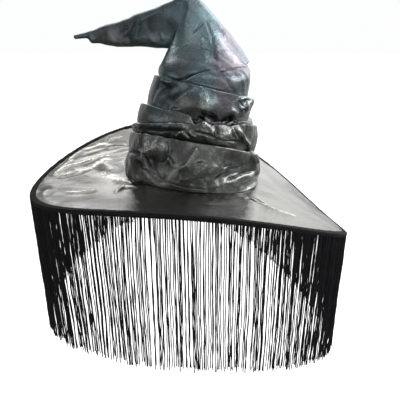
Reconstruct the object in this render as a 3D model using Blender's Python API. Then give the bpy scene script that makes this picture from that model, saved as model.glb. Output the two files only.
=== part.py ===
"""Pleated witch hat: a tucked cloth crown with a folded-over peak, on a wide
saddle-shaped brim with a bound rim and a long fringe all the way round.

Metres, +Z up.  The front of the hat faces -Y.  The origin is the middle of the
head opening, at the level where the crown sits on the brim.
"""
import bpy
import numpy as np
from math import pi, sin, cos

# Driving sizes
CLOTH = 0.0018              # thickness of the brim, two layers sewn together
CROWN_CLOTH = 0.0014        # thickness of crown and peak
MITRE_LIMIT = 1.7           # longest corner of the wall at a fold, in thicknesses
GAP = 0.0003                # clearance between pieces that touch on the real hat
STATIONS = 48               # steps round the crown, brim and binding

RIM_RADIUS = 0.2085         # brim, centre of the rim to its edge
RIM_CENTRE_X = 0.003
RIM_LEVEL = -0.007          # mean height of the rim against the crown's seat
SEAT_SHARE = 0.05           # part of the brim's width that lies flat under the crown
BRIM_DISH = 1.2             # how late the brim leaves the level of the seat, 1 is straight

HEAD_HALF_WIDTH = 0.0910    # crown's hem, outside, left to right
HEAD_HALF_DEPTH = 0.0940    # crown's hem, outside, front to back
BRIM_ROWS = (0.0, SEAT_SHARE, 0.30, 0.62, 1.0)
BRIM_TUCKED_IN = 0.0030     # how far the brim runs in under the hem

TUCK_REACH = 0.0085         # how far a tuck folds in behind the pleat below it
TUCK_DROP = 0.0050          # how far it goes down there

TAPE = 0.0011               # thickness of the binding's tape
TAPE_REACH = 0.0070         # how far the binding covers the brim
TAPE_CORNER = 0.45          # flat part of the binding's outer face, as a share

FRINGE_LENGTH = 0.176
LOCKS = 96
LOCK_SHARE = 0.76           # width of a lock against its pitch, the rest is open
LOCK_THICKNESS = 0.0020
HEADING_HEIGHT = 0.0070
# columns: share of a lock's length, how far its sides have drawn in, thickness share
LOCK_ROWS = (
    (0.55, 0.10, 1.0),
    (1.00, 0.30, 0.8),
)

# Rim, as waves round the hat.  The angle runs from the front over the right side.
# columns: waves round the rim, height cosine, height sine, radius cosine, radius sine
RIM_WAVES = (
    (1, 0.004, -0.038, 0.0, 0.0),
    (2, 0.032, 0.011, -0.003, -0.017),
    (3, -0.002, 0.000, -0.011, 0.006),
    (4, 0.000, -0.001, -0.002, -0.002),
)
# Seat of the crown on the brim: mean height, sideways tilt, saddle
SEAT_MEAN = 0.0050
SEAT_TILT = -0.0095
SEAT_SADDLE = 0.0035

# Pleats of the crown, from the brim up.  Each row is the top fold of one pleat.
# columns: name, left x, left z, right x, right z, centre y, half depth,
#          rise of the front over the sides, belly of the cloth below the fold
PLEATS = (
    ("drum", -0.0801, 0.0600, 0.0895, 0.0300, 0.0000, 0.0860, 0.0225, 0.0022),
    ("waist", -0.0782, 0.0700, 0.0850, 0.0690, 0.0000, 0.0795, 0.0180, 0.0025),
    ("middle", -0.0655, 0.0985, 0.0800, 0.0830, 0.0000, 0.0710, 0.0125, 0.0030),
    ("upper", -0.0468, 0.1345, 0.0775, 0.1050, 0.0000, 0.0600, 0.0065, 0.0025),
)
# Rows of cloth in each pleat, as shares of its height
PLEAT_ROWS = {
    "drum": (0.10, 0.26, 0.44, 0.62, 0.82),
    "waist": (0.35, 0.70),
    "middle": (0.35, 0.70),
    "upper": (0.25, 0.55, 0.80),
}
# Main dents (negative) and swells of the crown
# columns: pleat, angle in degrees, share of the height, half width in degrees,
#          half height as a share, depth
DENTS = (
    ("drum", -92, 0.50, 16, 0.20, -0.0070),
    ("drum", -88, 0.20, 22, 0.22, 0.0015),
    ("drum", -24, 0.45, 13, 0.24, -0.0070),
    ("drum", -48, 0.55, 14, 0.28, 0.0040),
    ("drum", 8, 0.50, 16, 0.30, 0.0030),
    ("drum", 30, 0.62, 14, 0.20, -0.0035),
    ("drum", 62, 0.12, 20, 0.14, -0.0060),
    ("drum", 78, 0.62, 14, 0.30, 0.0010),
    ("drum", 128, 0.50, 16, 0.30, -0.0060),
    ("drum", 176, 0.50, 16, 0.30, 0.0040),
    ("drum", -138, 0.45, 15, 0.28, -0.0055),
    ("waist", 24, 0.55, 12, 0.45, 0.0045),
    ("waist", 50, 0.40, 12, 0.45, -0.0040),
    ("waist", 92, 0.70, 14, 0.50, 0.0030),
    ("middle", 12, 0.35, 12, 0.40, -0.0045),
    ("middle", 40, 0.35, 12, 0.40, -0.0045),
    ("middle", -60, 0.60, 20, 0.40, 0.0020),
    ("upper", -35, 0.65, 18, 0.30, -0.0045),
    ("upper", 0, 0.45, 16, 0.40, 0.0030),
    ("upper", 84, 0.85, 10, 0.25, 0.0040),
    ("upper", 150, 0.50, 20, 0.40, -0.0045),
)

# Sections of the peak, from the topmost tuck up to the crease and down to the tip.
# "left" is the edge that starts on the left and becomes the flap's upper edge.
# columns: name, left x, left z, right x, right z, centre y, half thickness,
#          side that the front of the cloth faces, in degrees (0 front, 180 back)
PEAK_SECTIONS = (
    ("neck", -0.0415, 0.1420, 0.0735, 0.1165, -0.0010, 0.0500, 0),
    ("shoulder", -0.0366, 0.1500, 0.0750, 0.1290, -0.0050, 0.0400, 0),
    ("chest", -0.0301, 0.1620, 0.0755, 0.1370, -0.0020, 0.0285, 0),
    ("corner", -0.0226, 0.1775, 0.0757, 0.1400, 0.0040, 0.0200, 0),
    ("front cone", -0.0150, 0.1950, 0.0752, 0.1412, 0.0085, 0.0135, 0),
    ("cone top", -0.0085, 0.2100, 0.0742, 0.1422, 0.0125, 0.0090, 0),
    ("crease front", -0.0035, 0.2235, 0.0724, 0.1442, 0.0165, 0.0048, 10),
    ("crease rising", 0.0004, 0.2268, 0.0744, 0.1460, 0.0206, 0.0045, 50),
    ("crease", 0.0019, 0.2283, 0.0755, 0.1470, 0.0280, 0.0045, 90),
    ("crease falling", 0.0006, 0.2272, 0.0744, 0.1460, 0.0354, 0.0045, 130),
    ("crease back", -0.0045, 0.2258, 0.0700, 0.1442, 0.0395, 0.0050, 170),
    ("flap root", -0.0150, 0.2255, 0.0446, 0.1535, 0.0408, 0.0070, 180),
    ("flap", -0.0275, 0.2215, 0.0070, 0.1585, 0.0420, 0.0085, 180),
    ("flap middle", -0.0461, 0.2145, -0.0306, 0.1638, 0.0430, 0.0088, 180),
    ("flap dip", -0.0674, 0.2074, -0.0562, 0.1656, 0.0440, 0.0085, 180),
    ("flap narrow", -0.0876, 0.2008, -0.0832, 0.1654, 0.0450, 0.0080, 180),
    ("flap thin", -0.1078, 0.1942, -0.1033, 0.1669, 0.0450, 0.0072, 180),
    ("flap end", -0.1255, 0.1893, -0.1233, 0.1694, 0.0450, 0.0062, 180),
    ("step", -0.1350, 0.1862, -0.1350, 0.1707, 0.0447, 0.0052, 180),
    ("tip root", -0.1388, 0.1845, -0.1384, 0.1757, 0.0442, 0.0038, 180),
    ("tip", -0.1560, 0.1806, -0.1556, 0.1756, 0.0430, 0.0024, 180),
)
PEAK_STATIONS = 32
TIP_POINT = 0.3             # length of the tip's blunt end against its width
PEAK_FOOT = 0.0060          # how far the peak reaches down inside the topmost tuck
PEAK_RELIEF = 0.0020        # height over the tuck before the peak may leave its line


def clear_scene():
    """Remove what a new file holds."""
    for thing in list(bpy.data.objects):
        bpy.data.objects.remove(thing, do_unlink=True)


def cloth_material(name, colour, roughness):
    """Plain finish of one piece."""
    material = bpy.data.materials.new(name)
    material.use_nodes = True
    shader = material.node_tree.nodes["Principled BSDF"]
    shader.inputs["Base Color"].default_value = (*colour, 1.0)
    shader.inputs["Roughness"].default_value = roughness
    shader.inputs["Metallic"].default_value = 0.0
    return material


def add_piece(name, vertices, faces, material, sharp_degrees=40):
    """Make one named object from points and faces."""
    mesh = bpy.data.meshes.new(name)
    mesh.from_pydata([tuple(map(float, point)) for point in vertices], [], faces)
    mesh.materials.append(material)
    mesh.shade_smooth()
    mesh.set_sharp_from_angle(angle=sharp_degrees * pi / 180)
    piece = bpy.data.objects.new(name, mesh)
    bpy.context.scene.collection.objects.link(piece)
    return piece


def angles(count):
    """Angles round the hat, from the front (-Y) over the right side (+X)."""
    return 2 * pi * np.arange(count) / count


def lerp(start, end, share):
    return start + (end - start) * share


def ring_of_section(left, right, centre_y, half_depth, facing, rise, count):
    """One closed ring of cloth between two edge points.

    A deep section is an ellipse and a thin one has flat sides and round ends.
    facing turns the front of the cloth over the fold's crease, in degrees.
    """
    turn = angles(count)
    across, front = np.sin(turn), np.cos(turn)
    half = np.array([(right[0] - left[0]) / 2, 0.0, (right[1] - left[1]) / 2])
    middle = np.array([(right[0] + left[0]) / 2, centre_y, (right[1] + left[1]) / 2])
    half_width = np.linalg.norm(half)
    along = half / half_width
    up_and_out = np.array([-along[2], 0.0, along[0]])
    tilt = facing * pi / 180
    facing_way = np.array([0.0, -cos(tilt), 0.0]) + up_and_out * sin(tilt)
    end_radius = min(half_depth, half_width)
    flatness = np.sign(across) * (1 - (1 - np.abs(across)) ** 2)
    reach = (half_width - end_radius) * flatness + end_radius * across
    lift = np.array([0.0, 0.0, rise])
    return (middle + np.outer(reach, along)
            + np.outer(front * half_depth, facing_way) + np.outer(front, lift))


def bridge_rings(first, second, count):
    """Quads between two rings, given as the index of each ring's first point."""
    return [(first + step, first + (step + 1) % count,
             second + (step + 1) % count, second + step) for step in range(count)]


def shell(outer, inner, closed_end):
    """Closed wall between two stacks of rings, from the open end up.

    With closed_end the last rings are capped by a point each, else joined.
    """
    count = len(outer[0])
    rows = len(outer)
    points = [point for ring in outer for point in ring]
    points += [point for ring in inner for point in ring]
    inside = rows * count
    faces = []
    for row in range(rows - 1):
        faces += bridge_rings(row * count, (row + 1) * count, count)
        faces += [face[::-1] for face in
                  bridge_rings(inside + row * count, inside + (row + 1) * count, count)]
    faces += [face[::-1] for face in bridge_rings(0, inside, count)]
    last = (rows - 1) * count
    if not closed_end:
        faces += bridge_rings(last, inside + last, count)
        return points, faces
    for stack, base, flip in ((outer, 0, False), (inner, inside, True)):
        travel = stack[-1].mean(axis=0) - stack[-2].mean(axis=0)
        width = np.ptp(stack[-1], axis=0).max()
        bulge = travel / np.linalg.norm(travel) * TIP_POINT * width
        points.append(stack[-1].mean(axis=0) + bulge)
        apex = len(points) - 1
        for step in range(count):
            face = (base + last + step, base + last + (step + 1) % count, apex)
            faces.append(face[::-1] if flip else face)
    return points, faces


def rim_edge(turn):
    """Exact point on the edge of the brim."""
    radius, height = RIM_RADIUS, RIM_LEVEL
    for waves, rise_cos, rise_sin, out_cos, out_sin in RIM_WAVES:
        height += rise_cos * cos(waves * turn) + rise_sin * sin(waves * turn)
        radius += RIM_RADIUS * (out_cos * cos(waves * turn) + out_sin * sin(waves * turn))
    return np.array([RIM_CENTRE_X + radius * sin(turn), -radius * cos(turn), height])


def seat_height(turn):
    """Level of the brim under the crown."""
    return SEAT_MEAN + SEAT_SADDLE * cos(2 * turn) + SEAT_TILT * sin(turn)


def head_ring(inset):
    """Ring parallel to the crown's hem, on the brim's seat."""
    turn = angles(STATIONS)
    x = (HEAD_HALF_WIDTH - inset) * np.sin(turn)
    y = -(HEAD_HALF_DEPTH - inset) * np.cos(turn)
    return np.stack([x, y, [seat_height(angle) for angle in turn]], axis=1)


def brim_surface(share):
    """Ring in the middle of the brim's cloth, from the head opening (0) to the rim (1)."""
    inner = head_ring(BRIM_TUCKED_IN)
    outer = np.array([rim_edge(angle) for angle in angles(STATIONS)])
    ring = lerp(inner, outer, share)
    climb = max(0.0, (share - SEAT_SHARE) / (1 - SEAT_SHARE)) ** BRIM_DISH
    ring[:, 2] = lerp(inner[:, 2], outer[:, 2], climb)
    return ring


def brim_frames():
    """Rings of the brim's middle, with the outward and upward direction at each point."""
    rings = np.array([brim_surface(share) for share in BRIM_ROWS])
    outward = np.empty_like(rings)
    outward[1:-1] = rings[2:] - rings[:-2]
    outward[0] = rings[1] - rings[0]
    outward[-1] = rings[-1] - rings[-2]
    outward /= np.linalg.norm(outward, axis=2)[:, :, None]
    upward = np.cross(np.cross(outward, [0.0, 0.0, 1.0]), outward)
    upward /= np.linalg.norm(upward, axis=2)[:, :, None]
    return rings, outward, upward


def rim_frame():
    """The brim's edge points, with their outward and upward directions."""
    return [part[-1] for part in brim_frames()]


def make_brim(material):
    """Cloth ring on the saddle, open for the head."""
    rings, outward, upward = brim_frames()
    half = upward * CLOTH / 2
    points, faces = shell(list(rings - half), list(rings + half), closed_end=False)
    return add_piece("brim", points, faces, material)


def make_binding(material):
    """Tape folded round the brim's edge, with the cloth's slot left open."""
    slot = CLOTH / 2 + GAP
    outside = slot + TAPE
    lip = GAP + TAPE
    profile = (
        (-TAPE_REACH, outside), (0.0, outside), (lip, outside * TAPE_CORNER),
        (lip, -outside * TAPE_CORNER), (0.0, -outside), (-TAPE_REACH, -outside),
        (-TAPE_REACH, -slot), (GAP, -slot), (GAP, slot), (-TAPE_REACH, slot),
    )
    edge, outward, upward = rim_frame()
    rings = [edge + outward * out + upward * lift for out, lift in profile]
    points = [point for ring in rings for point in ring]
    faces = []
    for corner in range(len(profile)):
        following = (corner + 1) % len(profile)
        faces += [face[::-1] for face in
                  bridge_rings(corner * STATIONS, following * STATIONS, STATIONS)]
    return add_piece("brim_binding", points, faces, material)


def add_tuck(ring, centre):
    """Fold a ring in and down behind the pleat below it."""
    offset = ring - centre
    length = np.hypot(offset[:, 0], offset[:, 1])
    inward = 1 - TUCK_REACH / length
    folded = centre + offset * np.stack([inward, inward, np.ones_like(inward)], axis=1)
    folded[:, 2] -= TUCK_DROP
    return folded


def dent_depth(pleat, share):
    """Outward move of each station of a pleat's row."""
    turn = angles(STATIONS)
    depth = np.zeros(STATIONS)
    for name, degrees, middle, half_width, half_height, amount in DENTS:
        if name != pleat:
            continue
        away = (turn - degrees * pi / 180 + pi) % (2 * pi) - pi
        round_it = np.exp(-(away / (half_width * pi / 180)) ** 2)
        depth += amount * round_it * np.exp(-((share - middle) / half_height) ** 2)
    return depth


def pleat_fold(row):
    """Ring of a pleat's top fold."""
    left_x, left_z, right_x, right_z, centre_y, depth, rise = row[1:-1]
    return ring_of_section(
        (left_x, left_z), (right_x, right_z), centre_y, depth, 0, rise, STATIONS)


def crown_rings():
    """Outside of the crown, from its hem to the bottom of the topmost tuck."""
    hem = head_ring(0.0)
    hem[:, 2] += CLOTH / 2 + GAP
    rings = [hem]
    lower, lower_centre = hem, hem.mean(axis=0)
    for row in PLEATS:
        name, belly = row[0], row[-1]
        fold = pleat_fold(row)
        centre = fold.mean(axis=0)
        for share in PLEAT_ROWS[name]:
            ring = lerp(lower, fold, share)
            outward = ring - lerp(lower_centre, centre, share)
            outward[:, 2] = 0
            outward /= np.linalg.norm(outward, axis=1)[:, None]
            swell = belly * sin(pi * share ** 0.7) + dent_depth(name, share)
            rings.append(ring + outward * swell[:, None])
        rings.append(fold)
        lower, lower_centre = add_tuck(fold, centre), centre
        rings.append(lower)
    return rings


def inward_offset(rings, thickness):
    """Inside of a wall whose outside is a stack of rings, with mitred folds."""
    stack = np.array(rings)
    step = np.diff(stack, axis=0)
    step /= np.linalg.norm(step, axis=2)[:, :, None]
    before = np.concatenate([step[:1], step])
    after = np.concatenate([step, step[-1:]])
    round_it = np.roll(stack, -1, axis=1) - np.roll(stack, 1, axis=1)
    normals = []
    for along in (before, after):
        normal = np.cross(round_it, along)
        normals.append(normal / np.linalg.norm(normal, axis=2)[:, :, None])
    mitre = normals[0] + normals[1]
    length = np.maximum(np.linalg.norm(mitre, axis=2), 2 / MITRE_LIMIT)
    return stack - mitre * (2 * thickness / length ** 2)[:, :, None]


def make_crown(material):
    """Tucked cloth drum, open below for the head and above into the peak."""
    outer = crown_rings()
    inner = list(inward_offset(outer, CROWN_CLOTH))
    hem = outer[0].mean(axis=0)
    inner[0] = outer[0] + (hem - outer[0]) * CROWN_CLOTH / HEAD_HALF_WIDTH
    inner[0][:, 2] = outer[0][:, 2]
    points, faces = shell(outer, inner, closed_end=False)
    return add_piece("crown", points, faces, material)


def peak_rings(inset):
    """Rings of the peak, set in from its outside by inset."""
    left_x, left_z, right_x, right_z, centre_y, depth, rise = PLEATS[-1][1:-1]
    narrower = TUCK_REACH + GAP + inset
    turn = np.array([right_x - left_x, right_z - left_z])
    turn /= np.linalg.norm(turn)
    foot = ring_of_section(
        (left_x + narrower * turn[0], left_z + narrower * turn[1]),
        (right_x - narrower * turn[0], right_z - narrower * turn[1]),
        centre_y, depth - narrower, 0, rise, PEAK_STATIONS)
    heights = (-TUCK_DROP - PEAK_FOOT, PEAK_RELIEF - TUCK_DROP)
    rings = [foot + np.array([0.0, 0.0, height]) for height in heights]
    for row in PEAK_SECTIONS:
        left_x, left_z, right_x, right_z, centre_y, thickness, facing = row[1:]
        half = np.array([right_x - left_x, right_z - left_z]) / 2
        step = half / np.linalg.norm(half) * inset
        rings.append(ring_of_section(
            (left_x + step[0], left_z + step[1]), (right_x - step[0], right_z - step[1]),
            centre_y, thickness - inset, facing, 0.0, PEAK_STATIONS))
    return rings


def make_peak(material):
    """Cone that is creased flat, folded over backwards and closed at its tip."""
    points, faces = shell(peak_rings(0.0), peak_rings(CROWN_CLOTH), closed_end=True)
    return add_piece("peak", points, faces, material)


def lock_length(number):
    """Length of one lock of the fringe, uneven as cut and unravelled yarn is."""
    return FRINGE_LENGTH * (1 + 0.012 * sin(2.7 * number) + 0.010 * sin(7.1 * number + 1))


def make_fringe(material):
    """Heading tape under the binding, with a hanging lock in every second slot."""
    edge, outward, upward = rim_frame()
    below = edge - upward * (CLOTH / 2 + GAP + TAPE)
    lowest = np.minimum(below[:, 2], (below - outward * TAPE_REACH)[:, 2])
    spots = 2 * LOCKS
    pitch = STATIONS / LOCKS

    def heading_point(spot):
        """Top of the heading on the straight line between two stations of the rim."""
        place = (spot // 2 + (LOCK_SHARE if spot % 2 else 0.0)) * pitch
        station = int(place)
        share = place - station
        following = (station + 1) % STATIONS
        station %= STATIONS
        point = lerp(edge[station], edge[following], share)
        point[2] = lerp(lowest[station], lowest[following], share) - GAP
        return point

    def cross_section(spot, drop, thickness, towards=None, pull=0.0):
        """Outer and inner point of the tape or of a lock, at a drop below its top."""
        point = heading_point(spot)
        if towards is not None:
            point = lerp(point, towards, pull)
        away = np.array([point[0] - RIM_CENTRE_X, point[1], 0.0])
        away /= np.linalg.norm(away)
        down = np.array([0.0, 0.0, drop])
        return [point + away * thickness / 2 - down, point - away * thickness / 2 - down]

    points = []
    for spot in range(spots):
        points += cross_section(spot, 0.0, LOCK_THICKNESS)
        points += cross_section(spot, HEADING_HEIGHT, LOCK_THICKNESS)
    faces = []
    for spot in range(spots):
        here, there = 4 * spot, 4 * ((spot + 1) % spots)
        faces.append((here, there, there + 1, here + 1))
        faces.append((here + 2, there + 2, there, here))
        faces.append((here + 1, there + 1, there + 3, here + 3))
        if spot % 2:
            faces.append((here + 3, there + 3, there + 2, here + 2))
            continue
        middle = lerp(heading_point(spot), heading_point(spot + 1), 0.5)
        length = lock_length(spot // 2)
        upper = (here + 2, there + 2, there + 3, here + 3)
        for share, pull, thickness in LOCK_ROWS:
            first = len(points)
            drop = lerp(HEADING_HEIGHT, length, share)
            near = cross_section(spot, drop, LOCK_THICKNESS * thickness, middle, pull)
            far = cross_section(spot + 1, drop, LOCK_THICKNESS * thickness, middle, pull)
            points += [near[0], far[0], far[1], near[1]]
            lower = (first, first + 1, first + 2, first + 3)
            for side in range(4):
                nxt = (side + 1) % 4
                faces.append((lower[side], lower[nxt], upper[nxt], upper[side]))
            upper = lower
        faces.append(upper[::-1])
    return add_piece("fringe", points, faces, material)


def main():
    clear_scene()
    taffeta = cloth_material("slate taffeta", (0.055, 0.060, 0.064), 0.32)
    brim_taffeta = cloth_material("silver-black taffeta", (0.060, 0.062, 0.066), 0.30)
    tape = cloth_material("black tape", (0.010, 0.010, 0.011), 0.55)
    yarn = cloth_material("black yarn", (0.008, 0.008, 0.009), 0.65)
    make_crown(taffeta)
    make_peak(taffeta)
    make_brim(brim_taffeta)
    make_binding(tape)
    make_fringe(yarn)


main()
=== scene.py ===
"""Looks of the pleated witch hat: crushed taffeta crown and peak, silver-black
brim with a bound rim, and a fringe of single yarns all the way round.

Metres, +Z up, front of the hat towards -Y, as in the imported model.
"""
from itertools import product
from math import cos, pi, radians, sin

import bpy
import numpy as np
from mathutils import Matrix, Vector


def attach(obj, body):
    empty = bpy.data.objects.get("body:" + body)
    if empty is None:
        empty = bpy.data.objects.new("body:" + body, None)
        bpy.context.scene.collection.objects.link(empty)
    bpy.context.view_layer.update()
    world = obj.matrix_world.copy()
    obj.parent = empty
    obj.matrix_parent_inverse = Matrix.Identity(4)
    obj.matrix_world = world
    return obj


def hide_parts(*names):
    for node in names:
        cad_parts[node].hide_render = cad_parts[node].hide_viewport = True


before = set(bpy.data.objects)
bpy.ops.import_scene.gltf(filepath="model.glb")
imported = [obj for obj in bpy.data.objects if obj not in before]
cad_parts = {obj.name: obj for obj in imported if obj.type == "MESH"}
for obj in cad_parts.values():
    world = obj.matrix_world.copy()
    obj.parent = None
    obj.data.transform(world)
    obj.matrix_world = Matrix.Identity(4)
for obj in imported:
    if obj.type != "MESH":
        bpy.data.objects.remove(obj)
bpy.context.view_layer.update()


# Camera of the photograph
CAMERA_PLACE = (0.011, -0.5563, 0.1857)
CAMERA_PITCH = 21.93            # degrees below the horizon
CAMERA_LENS = 37.8              # millimetres
CAMERA_SENSOR = 36.0            # millimetres across
PHOTO_PIXELS = 400              # across and down
MARK_REACH = 1.6                # pixels within which a mark in the photo finds cloth
MARK_DEPTH = 0.006              # how far behind the nearest cloth there it may lie

# Sizes that the solids have as well
CLOTH = 0.0018                  # brim cloth with its stiffener
GAP = 0.0003                    # between two pieces that are sewn together
RIM_RADIUS = 0.2085             # mean radius of the brim over its bent rim
RIM_CENTRE_X = 0.003
RIM_LEVEL = -0.007              # mean height of the rim
SEAT_SHARE = 0.05               # share of the brim's width that lies flat under the crown
BRIM_DISH = 1.2                 # above 1 the brim rises later, towards its rim
HEAD_HALF_WIDTH = 0.0910        # of the crown at its hem
HEAD_HALF_DEPTH = 0.0940
BRIM_TUCKED_IN = 0.0030         # how far the brim reaches in under the crown's hem
TUCK_REACH = 0.0085             # how far a pleat folds in over the next
TUCK_DROP = 0.0050              # and down behind it
TAPE = 0.0011                   # of tape past the brim's edge
TAPE_REACH = 0.0062             # width of tape on either face of the brim
FRINGE_LENGTH = 0.176
HEADING_SHOWN = 0.0017          # height of the heading below the binding
HEADING_THICKNESS = 0.0019
SEAT_MEAN = 0.0050              # height of the brim under the crown: mean,
SEAT_TILT = -0.0095             # difference from the middle to the right side,
SEAT_SADDLE = 0.0035            # and of front and back over the sides
PEAK_FOOT = 0.0060              # length of peak that is hidden in the topmost tuck
PEAK_RELIEF = 0.0020            # height over the tuck's floor at which the peak comes free

# Sizes that only the cloth and the tape have here
TAPE_SHOWN = 0.0005             # the tape is flat once it is sewn down
FOOT_FLARE = 0.0030             # the peak's foot leans out sideways against the topmost tuck
CROWN_WALL = 0.0009             # one layer of taffeta on its stiffener
CREASE_DEPTH = 0.0010           # depth below the cloth around it that counts as a full crease in the painted shade, or height above it as a full ridge in the painted highlights
INSIDE_RIM = 0.62               # share of the brim's width from which its rim points outwards
TAPE_PUCKER = 0.00018           # height of the pulled-in places between its stitches
TAPE_PUCKERS = 130              # round the rim
TAPE_LUMP = 0.0007              # height of a gathered place for a draw of one
TAPE_LUMP_FROM = 0.35           # a draw above this makes one
TAPE_LUMP_STATIONS = 4          # stations over which the draws are evened out
TAPE_SEED = 41
HEADING_RIPPLE = 0.0003         # height of its waves
HEADING_RIPPLES = 160           # round the rim
HEADING_STEP = 0.00273          # length of heading between two stations

# Rim, as waves round the hat.  The angle runs from the front over the right side.
# columns: waves round the rim, height cosine, height sine, radius cosine, radius sine
RIM_WAVES = (
    (1, 0.004, -0.038, 0.0, 0.0),
    (2, 0.032, 0.011, -0.003, -0.017),
    (3, -0.002, 0.000, -0.011, 0.006),
    (4, 0.000, -0.001, -0.002, -0.002),
)
# Pleats of the crown, from the brim up.  Each row is the top fold of one pleat.
# columns: name, left x, left z, right x, right z, centre y, half depth,
#          rise of the front over the sides, belly of the cloth, rows of the mesh
PLEATS = (
    ("drum", -0.0801, 0.0600, 0.0895, 0.0300, 0.0000, 0.0860, 0.0225, 0.0022, 64),
    ("waist", -0.0782, 0.0700, 0.0850, 0.0690, 0.0000, 0.0795, 0.0180, 0.0025, 32),
    ("middle", -0.0655, 0.0985, 0.0800, 0.0830, 0.0000, 0.0710, 0.0125, 0.0030, 32),
    ("upper", -0.0468, 0.1345, 0.0775, 0.1050, 0.0000, 0.0600, 0.0065, 0.0025, 38),
)
TUCK_ROWS = 8
# Where a pleat's fold hangs lower than its section, as it falls loose over the next
# columns: pleat, angle in degrees, half width in degrees, lift
FOLD_LIFTS = (
    ("middle", -32, 13, -0.0042),
    ("middle", -12, 14, -0.0022),
    ("middle", 12, 24, -0.0115),
    ("middle", 50, 26, -0.0080),
    ("middle", 88, 24, -0.0040),
)
# Main dents (negative) and swells of the crown
# columns: pleat, angle in degrees, share of the height, half width in degrees,
#          half height as a share, depth
DENTS = (
    ("drum", -92, 0.50, 16, 0.20, -0.0070),
    ("drum", -88, 0.20, 22, 0.22, 0.0015),
    ("drum", -24, 0.45, 13, 0.24, -0.0070),
    ("drum", -48, 0.55, 14, 0.28, 0.0040),
    ("drum", 8, 0.50, 16, 0.30, 0.0030),
    ("drum", 30, 0.62, 14, 0.20, -0.0035),
    ("drum", 62, 0.12, 20, 0.14, -0.0060),
    ("drum", 78, 0.62, 14, 0.30, 0.0010),
    ("drum", 128, 0.50, 16, 0.30, -0.0060),
    ("drum", 176, 0.50, 16, 0.30, 0.0040),
    ("drum", -138, 0.45, 15, 0.28, -0.0055),
    ("waist", 24, 0.55, 12, 0.45, 0.0045),
    ("waist", 50, 0.40, 12, 0.45, -0.0040),
    ("waist", 92, 0.70, 14, 0.50, 0.0030),
    ("middle", 12, 0.35, 12, 0.40, -0.0045),
    ("middle", 40, 0.35, 12, 0.40, -0.0045),
    ("middle", -60, 0.60, 20, 0.40, 0.0020),
    ("upper", -35, 0.65, 18, 0.30, -0.0045),
    ("upper", 0, 0.45, 16, 0.40, 0.0030),
    ("upper", 84, 0.85, 10, 0.25, 0.0040),
    ("upper", 150, 0.50, 20, 0.40, -0.0045),
)
# Sections of the peak, from the topmost tuck up to the crease and down to the tip.
# columns: name, left x, left z, right x, right z, centre y, half thickness,
#          side that the front of the cloth faces, in degrees (0 front, 180 back)
PEAK_SECTIONS = (
    ("neck", -0.0415, 0.1420, 0.0735, 0.1165, -0.0010, 0.0500, 0),
    ("shoulder", -0.0366, 0.1500, 0.0750, 0.1290, -0.0050, 0.0400, 0),
    ("chest", -0.0301, 0.1620, 0.0755, 0.1370, -0.0020, 0.0285, 0),
    ("corner", -0.0226, 0.1775, 0.0757, 0.1400, 0.0040, 0.0200, 0),
    ("front cone", -0.0150, 0.1950, 0.0752, 0.1412, 0.0085, 0.0135, 0),
    ("cone top", -0.0085, 0.2100, 0.0742, 0.1422, 0.0125, 0.0090, 0),
    ("crease front", -0.0035, 0.2235, 0.0724, 0.1442, 0.0165, 0.0048, 10),
    ("crease rising", 0.0004, 0.2268, 0.0744, 0.1460, 0.0206, 0.0045, 50),
    ("crease", 0.0019, 0.2283, 0.0755, 0.1470, 0.0280, 0.0045, 90),
    ("crease falling", 0.0006, 0.2272, 0.0744, 0.1460, 0.0354, 0.0045, 130),
    ("crease back", -0.0045, 0.2258, 0.0700, 0.1442, 0.0395, 0.0050, 170),
    ("flap root", -0.0150, 0.2255, 0.0446, 0.1535, 0.0408, 0.0070, 180),
    ("flap", -0.0275, 0.2215, 0.0070, 0.1585, 0.0420, 0.0085, 180),
    ("flap middle", -0.0461, 0.2145, -0.0306, 0.1638, 0.0430, 0.0088, 180),
    ("flap dip", -0.0674, 0.2074, -0.0562, 0.1656, 0.0440, 0.0085, 180),
    ("flap narrow", -0.0876, 0.2008, -0.0832, 0.1654, 0.0450, 0.0080, 180),
    ("flap thin", -0.1078, 0.1942, -0.1033, 0.1669, 0.0450, 0.0072, 180),
    ("flap end", -0.1255, 0.1893, -0.1233, 0.1694, 0.0450, 0.0062, 180),
    ("step", -0.1350, 0.1862, -0.1350, 0.1707, 0.0447, 0.0052, 180),
    ("tip root", -0.1388, 0.1845, -0.1384, 0.1757, 0.0442, 0.0038, 180),
    ("tip", -0.1560, 0.1806, -0.1556, 0.1756, 0.0430, 0.0024, 180),
)
TIP_POINT = 0.3                 # length of the rounded tip over its width

# Fineness of the meshes
CROWN_STATIONS = 360
PEAK_STATIONS = 240
PEAK_STEP = 0.0016              # length of cloth between two rows of the peak
BRIM_STATIONS = 480
BRIM_ROWS = 72
RIM_STATIONS = 480
SOFTENING = 1                   # passes that round the pleats' edges
FOLD_PIECES = 14                # straight pieces in the line of a small fold


# Numbers and surfaces

def lerp(start, end, share):
    """Place between a start and an end."""
    return start + (end - start) * share


def unit(vectors):
    """Vectors of length one, along the last axis."""
    return vectors / np.maximum(np.linalg.norm(vectors, axis=-1, keepdims=True), 1e-12)


def ease(share):
    """Smooth step from 0 to 1."""
    share = np.clip(share, 0.0, 1.0)
    return share * share * (3 - 2 * share)


def full_turn(count):
    """Angles round the hat, from the front (-Y) over the right side (+X)."""
    return 2 * pi * np.arange(count) / count


def angle_from(turn, degrees):
    """Angles measured from one direction, half a turn either way."""
    return (turn - radians(degrees) + pi) % (2 * pi) - pi


def lattice(cell, seed):
    """A fixed random number from -1 to 1 for each cell."""
    mixed = (cell[..., 0] * 73856093) ^ (cell[..., 1] * 19349663)
    mixed = mixed ^ (cell[..., 2] * 83492791) ^ (seed * 374761393)
    mixed = (mixed ^ (mixed >> 13)) * 1274126177 & 0x7FFFFFFF
    mixed = (mixed ^ (mixed >> 16)) & 0xFFFF
    return mixed / 32767.5 - 1


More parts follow.
